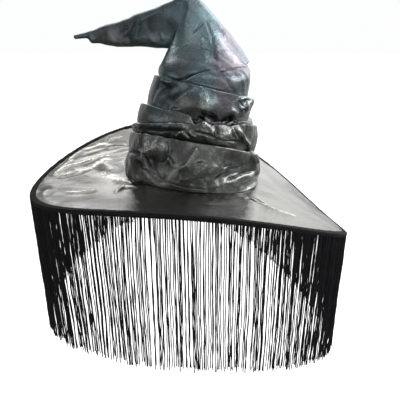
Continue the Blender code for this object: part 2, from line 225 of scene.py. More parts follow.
def smooth_noise(points, seed):
    """Smooth random field over space, from -1 to 1, one cell to a unit."""
    cell = np.floor(points).astype(np.int64)
    share = ease(points - cell)
    total = np.zeros(points.shape[:-1])
    for corner in product((0, 1), repeat=3):
        weight = np.prod(np.where(corner, share, 1 - share), axis=-1)
        total += weight * lattice(cell + np.array(corner), seed)
    return total


def crushed(points, waves, seed):
    """Height of crushed cloth: sharp folds in many directions, none of them long."""
    random = np.random.default_rng(seed)
    height = np.zeros(points.shape[:-1])
    for number, (length, depth) in enumerate(waves):
        direction = unit(random.normal(size=3))
        bend = smooth_noise(points / (1.6 * length), seed + 7 * number)
        phase = points @ direction / length + 0.55 * bend + random.random()
        folded = 2 * np.abs(phase % 1.0 - 0.5)
        presence = smooth_noise(points / (1.9 * length), seed + 7 * number + 3)
        height += depth * ease(0.55 + 0.9 * presence) * (folded - 0.5)
    return height


def ring_of_section(left, right, centre_y, half_depth, facing, rise, turn):
    """One closed ring of cloth between two edge points, each given as x and z."""
    across, front = np.sin(turn), np.cos(turn)
    half = np.array([(right[0] - left[0]) / 2, 0.0, (right[1] - left[1]) / 2])
    middle = np.array([(right[0] + left[0]) / 2, centre_y, (right[1] + left[1]) / 2])
    half_width = np.linalg.norm(half)
    along = half / half_width
    up_and_out = np.array([-along[2], 0.0, along[0]])
    tilt = radians(facing)
    facing_way = np.array([0.0, -cos(tilt), 0.0]) + up_and_out * sin(tilt)
    end_radius = min(half_depth, half_width)
    flatness = np.sign(across) * (1 - (1 - np.abs(across)) ** 2)
    reach = (half_width - end_radius) * flatness + end_radius * across
    lift = np.array([0.0, 0.0, rise])
    return (middle + np.outer(reach, along)
            + np.outer(front * half_depth, facing_way) + np.outer(front, lift))


def seat_height(turn):
    """Level of the brim under the crown."""
    return SEAT_MEAN + SEAT_SADDLE * np.cos(2 * turn) + SEAT_TILT * np.sin(turn)


def head_ring(inset, turn):
    """Ring parallel to the crown's hem, on the brim's seat."""
    x = (HEAD_HALF_WIDTH - inset) * np.sin(turn)
    y = -(HEAD_HALF_DEPTH - inset) * np.cos(turn)
    return np.stack([x, y, seat_height(turn)], axis=1)


def rim_edge(turn):
    """Points on the edge of the brim."""
    radius = np.full_like(turn, RIM_RADIUS)
    height = np.full_like(turn, RIM_LEVEL)
    for waves, rise_cos, rise_sin, out_cos, out_sin in RIM_WAVES:
        height += rise_cos * np.cos(waves * turn) + rise_sin * np.sin(waves * turn)
        radius += RIM_RADIUS * (out_cos * np.cos(waves * turn)
                                + out_sin * np.sin(waves * turn))
    x = RIM_CENTRE_X + radius * np.sin(turn)
    return np.stack([x, -radius * np.cos(turn), height], axis=1)


def surface_normals(grid):
    """Outward directions of a grid of rings, which close on themselves."""
    round_it = np.roll(grid, -1, axis=1) - np.roll(grid, 1, axis=1)
    along = np.gradient(grid, axis=0)
    return unit(np.cross(round_it, along))


def soften(grid, passes):
    """Round the grid's edges along its columns, with both ends held."""
    for _ in range(passes):
        inner = (grid[:-2] + 2 * grid[1:-1] + grid[2:]) / 4
        grid = np.concatenate([grid[:1], inner, grid[-1:]])
    return grid


def sample(grid, row, column):
    """Points of a grid of rings at fractional rows and columns."""
    rows, columns = grid.shape[:2]
    row = np.clip(row, 0, rows - 1.000001)
    low, left = np.floor(row).astype(int), np.floor(column).astype(int)
    up, over = (row - low)[:, None], (column - left)[:, None]
    left, right = left % columns, (left + 1) % columns
    return lerp(lerp(grid[low, left], grid[low, right], over),
                lerp(grid[low + 1, left], grid[low + 1, right], over), up)


PAINTED_LIGHT_KINDS = ("pale", "dark")         # kinds that paint highlight (pale) or shade (dark) into the cloth's colour and don't change its shape


def fold_height(grid, normals, line, kind, height, width):
    """Where one fold lies along a line on the surface, and its height there.  A lap
    falls off steeply on one side, a dent has a flat floor, and a bump keeps its height
    to its ends.  A pale place is a painted highlight and negative, a dark one a painted
    shade and positive, as a crease's painted shade."""
    start, step = line[:-1], np.diff(line, axis=0)
    reach = 4.0 * width
    low, high = line.min(axis=0) - reach, line.max(axis=0) + reach
    near = np.all((grid > low) & (grid < high), axis=-1)
    points, facing = grid[near], normals[near]
    if not len(points):
        return near, np.zeros(0)
    to_point = points[:, None] - start[None]
    length_squared = np.maximum((step ** 2).sum(axis=1), 1e-14)
    share = np.clip((to_point * step).sum(axis=2) / length_squared, 0, 1)
    offset = to_point - share[..., None] * step
    distance = np.linalg.norm(offset, axis=2)
    nearest = distance.argmin(axis=1)
    pick = np.arange(len(points)), nearest
    away = distance[pick]
    side = np.sign((np.cross(step[nearest], offset[pick]) * facing).sum(axis=1))
    place = (nearest + share[pick]) / len(step)
    taper = 1.0
    if kind not in ("bump", *PAINTED_LIGHT_KINDS):
        taper = ease(place / 0.22) * ease((1 - place) / 0.22)
    if kind == "crease":
        shape = 0.45 * np.exp(-(away / (2.0 * width)) ** 2) - np.exp(-1.6 * away / width)
    elif kind == "lap":
        steep = np.where(side > 0, 1.0, 5.0)
        shape = np.exp(-away / width * steep)
    elif kind == "ridge":
        shape = np.exp(-1.4 * away / width)
    elif kind in ("dent", "pale"):
        shape = -np.exp(-(away / width) ** 4)
    elif kind == "dark":
        shape = np.exp(-(away / width) ** 4)
    else:
        shape = np.exp(-(away / width) ** 2)
    return near, height * shape * taper


def hollows(relief, depth):
    """How far each point lies in a crease (1) or on a ridge (-1)."""
    around = relief
    for _ in range(5):
        around = (np.roll(around, 1, axis=1) + 2 * around + np.roll(around, -1, axis=1)) / 4
        around = soften(around, 2)
    return np.clip((around - relief) / depth, -1, 1)


# Materials

class Socket:
    """A node's output that takes part in arithmetic by adding Math nodes."""

    def __init__(self, tree, output):
        self.tree, self.output = tree, output

    def combine(self, operation, *values):
        vector = self.output.type in ("VECTOR", "RGBA")
        kind = "ShaderNodeVectorMath" if vector else "ShaderNodeMath"
        return self.tree.add(kind, {"operation": operation}, list(values))

    def __add__(self, other):
        return self.combine("ADD", self, other)

    def __radd__(self, other):
        return self.combine("ADD", other, self)

    def __sub__(self, other):
        return self.combine("SUBTRACT", self, other)

    def __rsub__(self, other):
        return self.combine("SUBTRACT", other, self)

    def __mul__(self, other):
        return self.combine("MULTIPLY", self, other)

    def __rmul__(self, other):
        return self.combine("MULTIPLY", other, self)

    def __truediv__(self, other):
        return self.combine("DIVIDE", self, other)

    def __pow__(self, other):
        return self.combine("POWER", self, other)

    def part(self, axis):
        """One coordinate of a vector."""
        return self.tree.add("ShaderNodeSeparateXYZ", {}, [self], axis)


class NodeTree:
    """Adds nodes to a material's or a geometry modifier's tree."""

    def __init__(self, tree):
        self.nodes, self.links = tree.nodes, tree.links

    def add(self, kind, settings=None, inputs=(), output=0):
        """One node with its settings, then its inputs by order or by name."""
        node = self.nodes.new(kind)
        for name, value in (settings or {}).items():
            setattr(node, name, value)
        pairs = inputs.items() if isinstance(inputs, dict) else enumerate(inputs)
        for place, value in pairs:
            self.feed(node.inputs[place], value)
        return Socket(self, node.outputs[output])

    def feed(self, socket, value):
        """Link or set one input."""
        if isinstance(value, Socket):
            self.links.new(value.output, socket)
        elif socket.type == "VECTOR" and isinstance(value, (int, float)):
            socket.default_value = (value, value, value)
        elif socket.type == "RGBA":
            socket.default_value = (*value[:3], 1.0)
        else:
            socket.default_value = value

    def noise(self, place, scale, detail=2.0, roughness=0.5, distortion=0.0):
        """Grey noise from 0 to 1, so many specks in a metre."""
        return self.add("ShaderNodeTexNoise", {}, {
            "Vector": place, "Scale": scale, "Detail": detail,
            "Roughness": roughness, "Distortion": distortion})

    def mix_colour(self, share, first, second):
        """The first colour at 0, the second at 1."""
        return self.add("ShaderNodeMix", {"data_type": "RGBA"}, {0: share, 6: first, 7: second}, 2)

    def rising(self, value, low, high, step="SMOOTHSTEP"):
        """A value's way from 0 at low to 1 at high."""
        return self.add("ShaderNodeMapRange", {"interpolation_type": step},
                        {0: value, 1: low, 2: high})

    def wave(self, place, pitch):
        """Sine wave along one coordinate."""
        turn = place * (2 * pi / pitch)
        return turn.combine("SINE", turn)

    def bump(self, height, strength, distance, normal=None):
        """Normal of a surface that is lifted by a height from 0 to 1."""
        inputs = {"Strength": strength, "Distance": distance, "Height": height}
        if normal:
            inputs["Normal"] = normal
        return self.add("ShaderNodeBump", {}, inputs)


# Tones of the two taffetas: cool, warm and mauve side of the shot yarn
SLATE_TONES = ((0.160, 0.226, 0.250), (0.212, 0.224, 0.212), (0.188, 0.180, 0.206))
SILVER_TONES = ((0.205, 0.211, 0.200), (0.240, 0.237, 0.216), (0.215, 0.211, 0.206))
GRAIN = 850.0                   # specks in a metre, which mottle the colour and the edges of the painted highlights
BLOTCHES = 300.0                # ragged edges of the painted highlights (pale places), in a metre
WEAVE_PITCH = 0.00042
SLUBS = (220.0, 1400.0, 1.0)    # thick threads in a metre, along and across the cloth
WEAVE_HEIGHT = 0.0001
CRINKLE_HEIGHT = 0.0012
RIB_PITCH = 0.0011              # of the binding tape
YARN_TWISTS = 520.0             # in a metre
COOL_HEIGHTS = (0.070, 0.155)   # heights between which the shot turns from warm to cool
WARM_FLAP = (0.02, 0.09)        # distances to the left over which it turns warm again
MAUVE_SIDE = (0.015, 0.045)     # distances to the right over which it turns mauve


def new_material(name):
    """A material's tree, its shader node and its Object coordinates."""
    material = bpy.data.materials.new(name)
    material.use_nodes = True
    tree = NodeTree(material.node_tree)
    shader = material.node_tree.nodes["Principled BSDF"]
    place = tree.add("ShaderNodeTexCoord", {}, (), 3)
    return material, tree, shader, place


def taffeta(name, tones, metallic, roughness, crush, painted_sheen):
    """Crushed glossy shot taffeta over fine ribs, with painted shade in the hollows of its folds and
    painted highlights on its ridges and pale places.
    """
    material, tree, shader, place = new_material(name)
    flat = tree.add("ShaderNodeTexCoord", {}, (), 2)
    side, height = place.part(0), place.part(2)
    cool, warm, mauve = tones
    high = tree.rising(height, *COOL_HEIGHTS)
    cool_share = high - tree.rising(side * -1, *WARM_FLAP) * 0.55
    wide_tone = tree.noise(place, 13.0, 2.0, 0.5, 0.6) - cool_share * 0.36
    mauve_tone = tree.noise(place + (0.31, 0.17, 0.05), 24.0, 2.0, 0.5, 0.4)
    mauve_tone = mauve_tone + tree.rising(side, *MAUVE_SIDE) * high * 0.20
    colour = tree.mix_colour(tree.rising(wide_tone, 0.16, 0.42, "LINEAR"), cool, warm)
    colour = tree.mix_colour(tree.rising(mauve_tone, 0.54, 0.76, "LINEAR"), colour, mauve)

    slub = tree.noise(flat * SLUBS, 1.0, 2.0, 0.6)
    grain = tree.noise(place, GRAIN, 1.0)
    blotch = tree.noise(place, BLOTCHES, 2.0, 0.6)
    # painted light: the attribute read here darkens the colour in the hollows of folds and on dark
    # places (painted shade), and with grain and blotches lightens ridges and pale places (painted
    # highlights)
    hollow = tree.add("ShaderNodeAttribute", {"attribute_name": "painted_shade_and_highlight"}, (), 2)
    shade = tree.rising(hollow, -0.1, 1.1) * -0.75 + 1.0
    pale = tree.rising((grain - 0.5) * 1.5 + (blotch - 0.5) * 1.6 - hollow, 0.42, 0.72)
    colour = colour * (slub * 0.5 + 0.75) * (pale * painted_sheen + shade) * (grain * 1.2 + 0.4)
    tree.feed(shader.inputs["Base Color"], colour)

    wear = tree.noise(place, 60.0, 3.0, 0.6)
    tree.feed(shader.inputs["Roughness"], wear * 0.12 + slub * 0.08 + (roughness - 0.10))
    shader.inputs["Metallic"].default_value = metallic

    soft = tree.noise(place, 70.0, 3.0, 0.55, 0.3)
    drift = tree.add("ShaderNodeTexNoise", {}, {"Vector": place, "Scale": 45.0}, 1)
    pinch = tree.add("ShaderNodeTexVoronoi", {"feature": "DISTANCE_TO_EDGE"}, {
        "Vector": place + drift * 0.02, "Scale": 62.0}) * 4.0
    crinkle = soft * 0.7 + pinch.combine("MINIMUM", pinch, 1.0) * 0.3 + grain * 0.12
    weave = tree.wave(flat.part(0), WEAVE_PITCH) * tree.wave(flat.part(1), WEAVE_PITCH)
    crinkled = tree.bump(crinkle, crush, CRINKLE_HEIGHT)
    tree.feed(shader.inputs["Normal"], tree.bump(weave, 0.16, WEAVE_HEIGHT, crinkled))
    return material


def tape_material():
    """Ribbed black binding tape."""
    material, tree, shader, place = new_material("black ribbed tape")
    flat = tree.add("ShaderNodeTexCoord", {}, (), 2)
    rub = tree.noise(place, 90.0, 3.0)
    colour = tree.mix_colour(rub * 1.2 - 0.1, (0.003, 0.003, 0.004), (0.014, 0.014, 0.015))
    tree.feed(shader.inputs["Base Color"], colour)
    tree.feed(shader.inputs["Roughness"], rub * 0.3 + 0.60)
    shader.inputs["Specular IOR Level"].default_value = 0.12
    ribs = tree.wave(flat.part(0), RIB_PITCH)
    tree.feed(shader.inputs["Normal"], tree.bump(ribs * 0.5 + rub, 0.5, 0.0003))
    return material


def yarn_material():
    """Black twisted yarn, slightly dusty."""
    material, tree, shader, place = new_material("black twisted yarn")
    dust = tree.noise(place, 160.0, 2.0)
    colour = tree.mix_colour(dust, (0.002, 0.002, 0.003), (0.010, 0.010, 0.012))
    tree.feed(shader.inputs["Base Color"], colour)
    tree.feed(shader.inputs["Roughness"], dust * 0.2 + 0.6)
    shader.inputs["Specular IOR Level"].default_value = 0.2
    twist = tree.add("ShaderNodeTexWave", {"wave_type": "BANDS", "bands_direction": "DIAGONAL"}, {
        "Vector": place, "Scale": YARN_TWISTS, "Distortion": 0.6, "Detail": 1.0})
    tree.feed(shader.inputs["Normal"], tree.bump(twist, 0.5, 0.0002))
    return material


# Meshes

def new_piece(name, points, faces, material, places, painted_shade_and_highlight=None):
    """One smooth object from points and faces, with its places on the flat cloth."""
    mesh = bpy.data.meshes.new(name)
    mesh.from_pydata(np.asarray(points, float).tolist(), [], faces)
    mesh.materials.append(material)
    mesh.shade_smooth()
    layer = mesh.uv_layers.new(name="cloth")
    corners = np.empty(len(mesh.loops), int)
    mesh.loops.foreach_get("vertex_index", corners)
    layer.data.foreach_set("uv", np.asarray(places, float)[corners].ravel())
    # painted shade and highlight at each point, which the taffeta reads
    if painted_shade_and_highlight is not None:
        layer = mesh.attributes.new("painted_shade_and_highlight", "FLOAT", "POINT")
        layer.data.foreach_set("value", np.asarray(painted_shade_and_highlight, np.float32))
    mesh.validate()
    piece = bpy.data.objects.new(name, mesh)
    bpy.context.scene.collection.objects.link(piece)
    return piece


def flat_places(grid):
    """Width and length along the cloth for each point of a grid of rings."""
    rows, count = grid.shape[:2]
    upward = np.linalg.norm(np.diff(grid, axis=0), axis=2).mean(axis=1)
    along = np.concatenate([[0.0], np.cumsum(upward)])
    girth = np.linalg.norm(np.roll(grid, -1, axis=1) - grid, axis=2).sum(axis=1).max()
    around = np.arange(count) / count * girth
    return np.stack(np.broadcast_arrays(around[None, :], along[:, None]), axis=2).reshape(-1, 2)


def half_as_fine(inside):
    """Every second ring and station of a grid, with its last ring."""
    kept = inside[::2, ::2]
    if len(inside) % 2 == 0:
        kept = np.concatenate([kept, inside[-1:, ::2]])
    return kept


def quads(first, rows, count, flip):
    """Faces of a grid of rings that close on themselves."""
    faces = []
    for row in range(rows - 1):
        low, high = first + row * count, first + (row + 1) * count
        for step in range(count):
            nxt = (step + 1) % count
            face = (low + step, low + nxt, high + nxt, high + step)
            faces.append(face[::-1] if flip else face)
    return faces


def loop_faces(rings, count):
    """Faces between rings of points that follow each other back to the first."""
    faces = []
    for ring in range(rings):
        low, high = ring * count, (ring + 1) % rings * count
        for step in range(count):
            nxt = (step + 1) % count
            faces.append((high + step, high + nxt, low + nxt, low + step))
    return faces


def double_wall(name, outer, inner, material, painted_shade_and_highlight, tip=False):
    """Closed wall between a fine outer grid and an inner grid of half as many rings
    and stations.  The last rings are joined, or with tip closed by a point each."""
    rows, count = outer.shape[:2]
    inner_rows, inner_count = inner.shape[:2]
    inside = rows * count
    points = np.concatenate([outer.reshape(-1, 3), inner.reshape(-1, 3)])
    places = np.concatenate([flat_places(outer), flat_places(inner)])
    faces = quads(0, rows, count, False) + quads(inside, inner_rows, inner_count, True)
    # painted shade and highlight at each point; the inner wall has none
    depth = np.zeros(len(points))
    depth[:inside] = painted_shade_and_highlight.ravel()

    def join(low, high, flip):
        for step in range(inner_count):
            nxt = (step + 1) % inner_count
            face = (low + 2 * step, low + 2 * step + 1, low + (2 * step + 2) % count,
                    high + nxt, high + step)
            faces.append(face[::-1] if flip else face)

    join(0, inside, True)
    last, inner_last = (rows - 1) * count, inside + (inner_rows - 1) * inner_count
    if not tip:
        join(last, inner_last, False)
        return new_piece(name, points, faces, material, places, depth)
    for grid, base, size, flip in ((outer, last, count, False),
                                   (inner, inner_last, inner_count, True)):
        travel = unit(grid[-1].mean(axis=0) - grid[-3].mean(axis=0))
        width = np.ptp(grid[-1], axis=0).max()
        apex = grid[-1].mean(axis=0) + travel * TIP_POINT * width
        points = np.concatenate([points, [apex]])
        places = np.concatenate([places, [places[base]]])
        depth = np.append(depth, 0.0)
        for step in range(size):
            face = (base + step, base + (step + 1) % size, len(points) - 1)
            faces.append(face[::-1] if flip else face)
    return new_piece(name, points, faces, material, places, depth)


# Crown

def dent_depth(pleat, share, turn):
    """Outward move of each station of a pleat's row."""
    depth = np.zeros_like(turn)
    for name, degrees, middle, half_width, half_height, amount in DENTS:
        if name != pleat:
            continue
        round_it = np.exp(-(angle_from(turn, degrees) / radians(half_width)) ** 2)
        depth += amount * round_it * np.exp(-((share - middle) / half_height) ** 2)
    return depth


def crown_grid(count):
    """Outside of the crown before its small folds, and the level of each row:
    pleat number plus share of its height, with the hidden tucks marked."""
    turn = full_turn(count)
    hem = head_ring(0.0, turn)
    hem[:, 2] += CLOTH / 2 + GAP
    rings, levels, hidden = [], [], []
    lower, lower_centre = hem, hem.mean(axis=0)
    for number, (name, left_x, left_z, right_x, right_z, centre_y, depth, rise,
                 belly, rows) in enumerate(PLEATS):
        fold = ring_of_section((left_x, left_z), (right_x, right_z), centre_y, depth,
                               0, rise, turn)
        for pleat, degrees, half_width, lift in FOLD_LIFTS:
            if pleat == name:
                away = angle_from(turn, degrees) / radians(half_width)
                fold[:, 2] += lift * np.exp(-away ** 2)
        centre = fold.mean(axis=0)
        for share in np.arange(rows) / rows:
            ring = lerp(lower, fold, share)
            outward = ring - lerp(lower_centre, centre, share)
            outward[:, 2] = 0
            swell = belly * sin(pi * share ** 0.7)
            if share > 0:
                swell = swell + dent_depth(name, share, turn)
            rings.append(ring + unit(outward) * np.reshape(swell, (-1, 1)))
            levels.append(number + share)
            hidden.append(0.0)
        offset = fold - centre
        inward = 1 - TUCK_REACH / np.hypot(offset[:, 0], offset[:, 1])
        folded = centre + offset * np.stack([inward, inward, np.ones_like(inward)], axis=1)
        folded[:, 2] -= TUCK_DROP
        for share in np.arange(TUCK_ROWS) / TUCK_ROWS:
            rings.append(lerp(fold, folded, share))
            levels.append(number + 1.0)
            hidden.append(share)
        lower, lower_centre = folded, centre
    rings.append(lower)
    levels.append(float(len(PLEATS)))
    hidden.append(1.0)
    return soften(np.array(rings), SOFTENING), np.array(levels), np.array(hidden)


# Small folds of the crown, and its pale and dark places: painted highlights and painted shade
# columns: name, kind, height (of a pale or dark place the strength of its painted light), half
# width, and the
#          marks that its line runs through, as pixels across and down in the photo
CROWN_FOLDS = (
    ("left strip edge", "crease", 0.0030, 0.0040, ((138, 127), (142, 132), (141, 140), (141, 149))),
    ("left notch", "crease", 0.0055, 0.0042, ((128, 152), (134, 152), (141, 154))),
    ("left bulge edge", "crease", 0.0028, 0.0035, ((141, 152), (145, 157), (147, 163), (150, 169))),
    ("hem seam", "crease", 0.0014, 0.0016,
     ((137, 167), (150, 172), (165, 181), (182, 187), (205, 189), (225, 190))),
    ("gathered dent", "bump", -0.0034, 0.0075, ((151, 159), (155, 168), (160, 176))),
    ("gather left", "crease", 0.0022, 0.0024, ((161, 164), (165, 160), (168, 156))),
    ("gather right", "crease", 0.0022, 0.0024, ((168, 156), (172, 160), (175, 165))),
    ("gather top", "crease", 0.0016, 0.0030, ((168, 140), (168, 148), (168, 156))),
    ("front ridge", "ridge", 0.0026, 0.0035, ((200, 146), (192, 155), (186, 165), (178, 172))),
    ("low ridge", "ridge", 0.0018, 0.0040, ((178, 181), (190, 178), (200, 172), (208, 165))),
    ("front dimple", "crease", 0.0020, 0.0030, ((195, 164), (200, 162), (205, 162))),
    ("right dimple", "crease", 0.0014, 0.0030, ((222, 168), (228, 166), (233, 165))),
    ("cuff hollow", "dent", 0.0028, 0.0055, ((214, 184), (222, 177), (233, 171), (246, 168))),
    ("cuff edge", "lap", -0.0042, 0.0060, ((224, 183), (234, 178), (245, 173), (257, 170))),
    ("cuff crease", "crease", 0.0038, 0.0028, ((240, 189), (248, 181), (256, 174))),
    ("cuff rim", "ridge", 0.0018, 0.0025, ((246, 189), (252, 187), (257, 181))),
    ("right ridge", "ridge", 0.0066, 0.0036, ((249, 152), (253, 158), (257, 166))),
    ("shade under knob", "crease", 0.0036, 0.0034, ((143, 129), (165, 130), (190, 130))),
    ("pyramid left", "ridge", 0.0036, 0.0026, ((175, 137), (179, 133), (184, 131))),
    ("pyramid crease", "crease", 0.0032, 0.0020, ((185, 131), (188, 135), (191, 138))),
    ("pyramid right", "ridge", 0.0028, 0.0020, ((188, 130), (192, 134), (196, 138))),
    ("waist crease", "crease", 0.0036, 0.0024, ((192, 131), (202, 133), (210, 135), (216, 138))),
    ("waist crease right", "crease", 0.0032, 0.0020, ((215, 139), (227, 140), (239, 142))),
    ("waist ridge", "ridge", 0.0038, 0.0026, ((200, 123), (206, 125), (211, 130), (214, 136))),
    ("facet ridge", "ridge", 0.0038, 0.0022, ((231, 126), (233, 132), (237, 141))),
    ("long ridge", "ridge", 0.0068, 0.0036, ((234, 127), (241, 136), (248, 145), (254, 156))),
    ("facet valley", "crease", 0.0048, 0.0045, ((215, 125), (217, 130), (215, 137))),
    ("facet left", "bump", 0.0030, 0.0065, ((203, 130), (208, 132))),
    ("facet right", "bump", 0.0034, 0.0065, ((222, 135), (228, 133))),
    ("knob", "ridge", 0.0038, 0.0030, ((133, 125), (137, 124), (142, 127))),
    ("facet edge", "ridge", 0.0024, 0.0045, ((163, 108), (176, 101), (188, 93), (198, 87))),
    ("facet top", "crease", 0.0018, 0.0040, ((146, 103), (156, 94), (166, 88), (180, 86))),
    ("middle ridge", "ridge", 0.0012, 0.0040, ((205, 89), (206, 100), (207, 113))),
    ("pocket left", "bump", -0.0060, 0.0055, ((197, 119), (204, 117), (212, 120))),
    ("pocket right", "bump", -0.0055, 0.0048, ((226, 121), (231, 119), (237, 121))),
    ("bright swell", "bump", 0.0018, 0.0040, ((232, 111), (235, 113))),
    ("knot top", "ridge", 0.0038, 0.0022, ((238, 100), (244, 98), (250, 99))),
    ("knot side", "ridge", 0.0038, 0.0022, ((247, 99), (245, 105), (247, 112))),
    ("knot crease", "crease", 0.0030, 0.0020, ((240, 103), (243, 107), (245, 111))),
    ("small line", "crease", 0.0014, 0.0018, ((166, 109), (172, 108), (181, 108))),
    ("left triangle", "ridge", 0.0028, 0.0020, ((160, 79), (167, 82), (173, 82))),
    ("left hollow", "bump", -0.0018, 0.0050, ((163, 85), (168, 86))),
    ("bright facet", "bump", 0.0030, 0.0120, ((203, 104), (208, 108))),
    ("dark facet", "bump", -0.0026, 0.0110, ((160, 98), (172, 97))),
    ("cuff pale", "pale", 1.0, 0.0045, ((236, 183), (252, 175))),
    ("drum dark", "dark", 0.7, 0.0070, ((146, 160), (158, 164), (170, 166))),
    ("left side dark", "dark", 0.8, 0.0050, ((135, 142), (137, 152), (141, 164))),
    ("right pale streak", "pale", 1.0, 0.0018, ((239, 128), (247, 145), (256, 163))),
    ("upper pale spot", "pale", 0.9, 0.0024, ((233, 110), (236, 114))),
    ("upper dark", "dark", 0.6, 0.0070, ((158, 84), (168, 92), (176, 98))),
    ("upper pale", "pale", 0.6, 0.0050, ((200, 89), (203, 100), (206, 108))),
    ("drum pale", "pale", 0.6, 0.0080, ((148, 146), (162, 148))),
    ("knot pale", "pale", 1.0, 0.0042, ((241, 105), (248, 101))),
    ("waist dark", "dark", 0.8, 0.0060, ((142, 128), (160, 129), (178, 131))),
    ("knot spike", "ridge", 0.0040, 0.0018, ((240, 110), (246, 104), (252, 99))),
)

# Random folds of the crushed cloth: length and height of each wave, and how strong
# they are at some levels of the piece
CROWN_CRUSH = ((0.034, 0.0016), (0.029, 0.0014), (0.023, 0.0012), (0.019, 0.0010),
               (0.015, 0.0008), (0.012, 0.0006), (0.010, 0.0005))
CROWN_CRUSHED = ((0.0, 0.12, 0.9, 2.0, 2.2, 4.0), (0.5, 0.85, 0.85, 1.1, 0.35, 0.3))
CROWN_SEED = 11
TUCK_CALM = 0.8                 # share of the crushing that is lost inside a tuck


def in_photo(points):
    """Pixels at which the photo shows some points, and their distance from the camera."""
    pitch = radians(CAMERA_PITCH)
    away = points - np.array(CAMERA_PLACE)
    ahead = away @ np.array([0.0, cos(pitch), -sin(pitch)])
    above = away @ np.array([0.0, sin(pitch), cos(pitch)])
    scale = PHOTO_PIXELS * CAMERA_LENS / CAMERA_SENSOR / ahead
    pixels = np.stack([away[..., 0] * scale, -above * scale], axis=-1) + PHOTO_PIXELS / 2
    return pixels, np.linalg.norm(away, axis=-1)


def marked_path(grid, seen, marks):
    """Line on the cloth through the places that the photo shows at some marks."""
    rows, columns, pixels, distance = seen
    found = []
    for mark in marks:
        apart = np.linalg.norm(pixels - mark, axis=1)
        near = apart < max(MARK_REACH, apart.min() * 1.001)
        near &= distance < distance[near].min() + MARK_DEPTH
        found.append(np.where(near, apart, np.inf).argmin())
    place = np.linspace(0, len(marks) - 1, FOLD_PIECES + 1)
    spots = np.arange(len(marks))
    turned = np.unwrap(columns[found].astype(float), period=grid.shape[1])
    return sample(grid, np.interp(place, spots, rows[found]), np.interp(place, spots, turned))


def folded_relief(grid, normals, folds, shown):
    """Sum of all the small folds of a piece, and of its pale and dark places, which are painted
    highlights and painted shade.
    """
    facing = ((np.array(CAMERA_PLACE) - grid) * normals).sum(axis=2) > 0
    rows, columns = np.nonzero(facing & shown[:, None])
    seen = rows, columns, *in_photo(grid[rows, columns])
    relief, painted_light = np.zeros(grid.shape[:2]), np.zeros(grid.shape[:2])
    for _, kind, height, width, marks in folds:
        path = marked_path(grid, seen, marks)
        near, height_here = fold_height(grid, normals, path, kind, height, width)
        (painted_light if kind in PAINTED_LIGHT_KINDS else relief)[near] += height_here
    return relief, painted_light


def make_crown(material):
    """Four pleats with the tucks between them, open at the hem and at the top."""
    grid, levels, hidden = crown_grid(CROWN_STATIONS)
    normals = surface_normals(grid)
    relief, painted_light = folded_relief(grid, normals, CROWN_FOLDS, hidden <= 0)
    relief *= (1 - hidden)[:, None]
    painted_light *= (1 - hidden)[:, None]
    fade = np.interp(levels, *CROWN_CRUSHED) * (1 - TUCK_CALM * hidden)
    relief += crushed(grid, CROWN_CRUSH, CROWN_SEED) * fade[:, None]
    outer = grid + normals * relief[..., None]
    inner = half_as_fine(outer - normals * CROWN_WALL)
    inner[0] = inner[0] * (1, 1, 0) + outer[0, ::2] * (0, 0, 1)
    # painted shade in the hollows of folds and on dark places, painted highlights on ridges and pale
    # places
    shades = hollows(relief, CREASE_DEPTH) + painted_light
    return double_wall("crown_taffeta", outer, inner, material, shades)


# Peak

def spline_rows(rings, step):
    """Smooth rows through a stack of rings, about step apart, and each row's level."""
    rings = np.array(rings)
    length = np.linalg.norm(np.diff(rings, axis=0), axis=2).mean(axis=1)
    knots = np.concatenate([[0.0], np.cumsum(np.sqrt(length))])
    slopes = np.empty_like(rings)
    gaps = np.diff(knots)
    rate = np.diff(rings, axis=0) / gaps[:, None, None]
    slopes[1:-1] = ((rate[1:] * gaps[:-1, None, None] + rate[:-1] * gaps[1:, None, None])
                    / (gaps[1:] + gaps[:-1])[:, None, None])
    slopes[0], slopes[-1] = rate[0], rate[-1]
    rows, levels = [], []
    for number in range(len(rings) - 1):
        count = max(2, int(round(length[number] / step)))
        for share in np.arange(count) / count:
            width = gaps[number]
            cube, square = share ** 3, share ** 2
            rows.append((2 * cube - 3 * square + 1) * rings[number]
                        + (cube - 2 * square + share) * width * slopes[number]
                        + (3 * square - 2 * cube) * rings[number + 1]
                        + (cube - square) * width * slopes[number + 1])
            levels.append(number + share)
    rows.append(rings[-1])
    levels.append(len(rings) - 1.0)
    return np.array(rows), np.array(levels)


def peak_grid(count):
    """Outside of the peak before its small folds.  Level 2 is the first section."""
    turn = full_turn(count)
    left_x, left_z, right_x, right_z, centre_y, depth, rise = PLEATS[-1][1:8]
    narrower = TUCK_REACH + GAP
    tilt = unit(np.array([right_x - left_x, right_z - left_z]))
    rings = []
    for inset, height in ((narrower, -TUCK_DROP - PEAK_FOOT),
                          (narrower - FOOT_FLARE, PEAK_RELIEF - TUCK_DROP)):
        foot = ring_of_section(
            (left_x + inset * tilt[0], left_z + inset * tilt[1]),
            (right_x - inset * tilt[0], right_z - inset * tilt[1]),
            centre_y, depth - narrower, 0, rise, turn)
        rings.append(foot + np.array([0.0, 0.0, height]))
    for _, left_x, left_z, right_x, right_z, centre_y, thickness, facing in PEAK_SECTIONS:
        rings.append(ring_of_section((left_x, left_z), (right_x, right_z), centre_y,
                                     thickness, facing, 0.0, turn))
    return spline_rows(rings, PEAK_STEP)
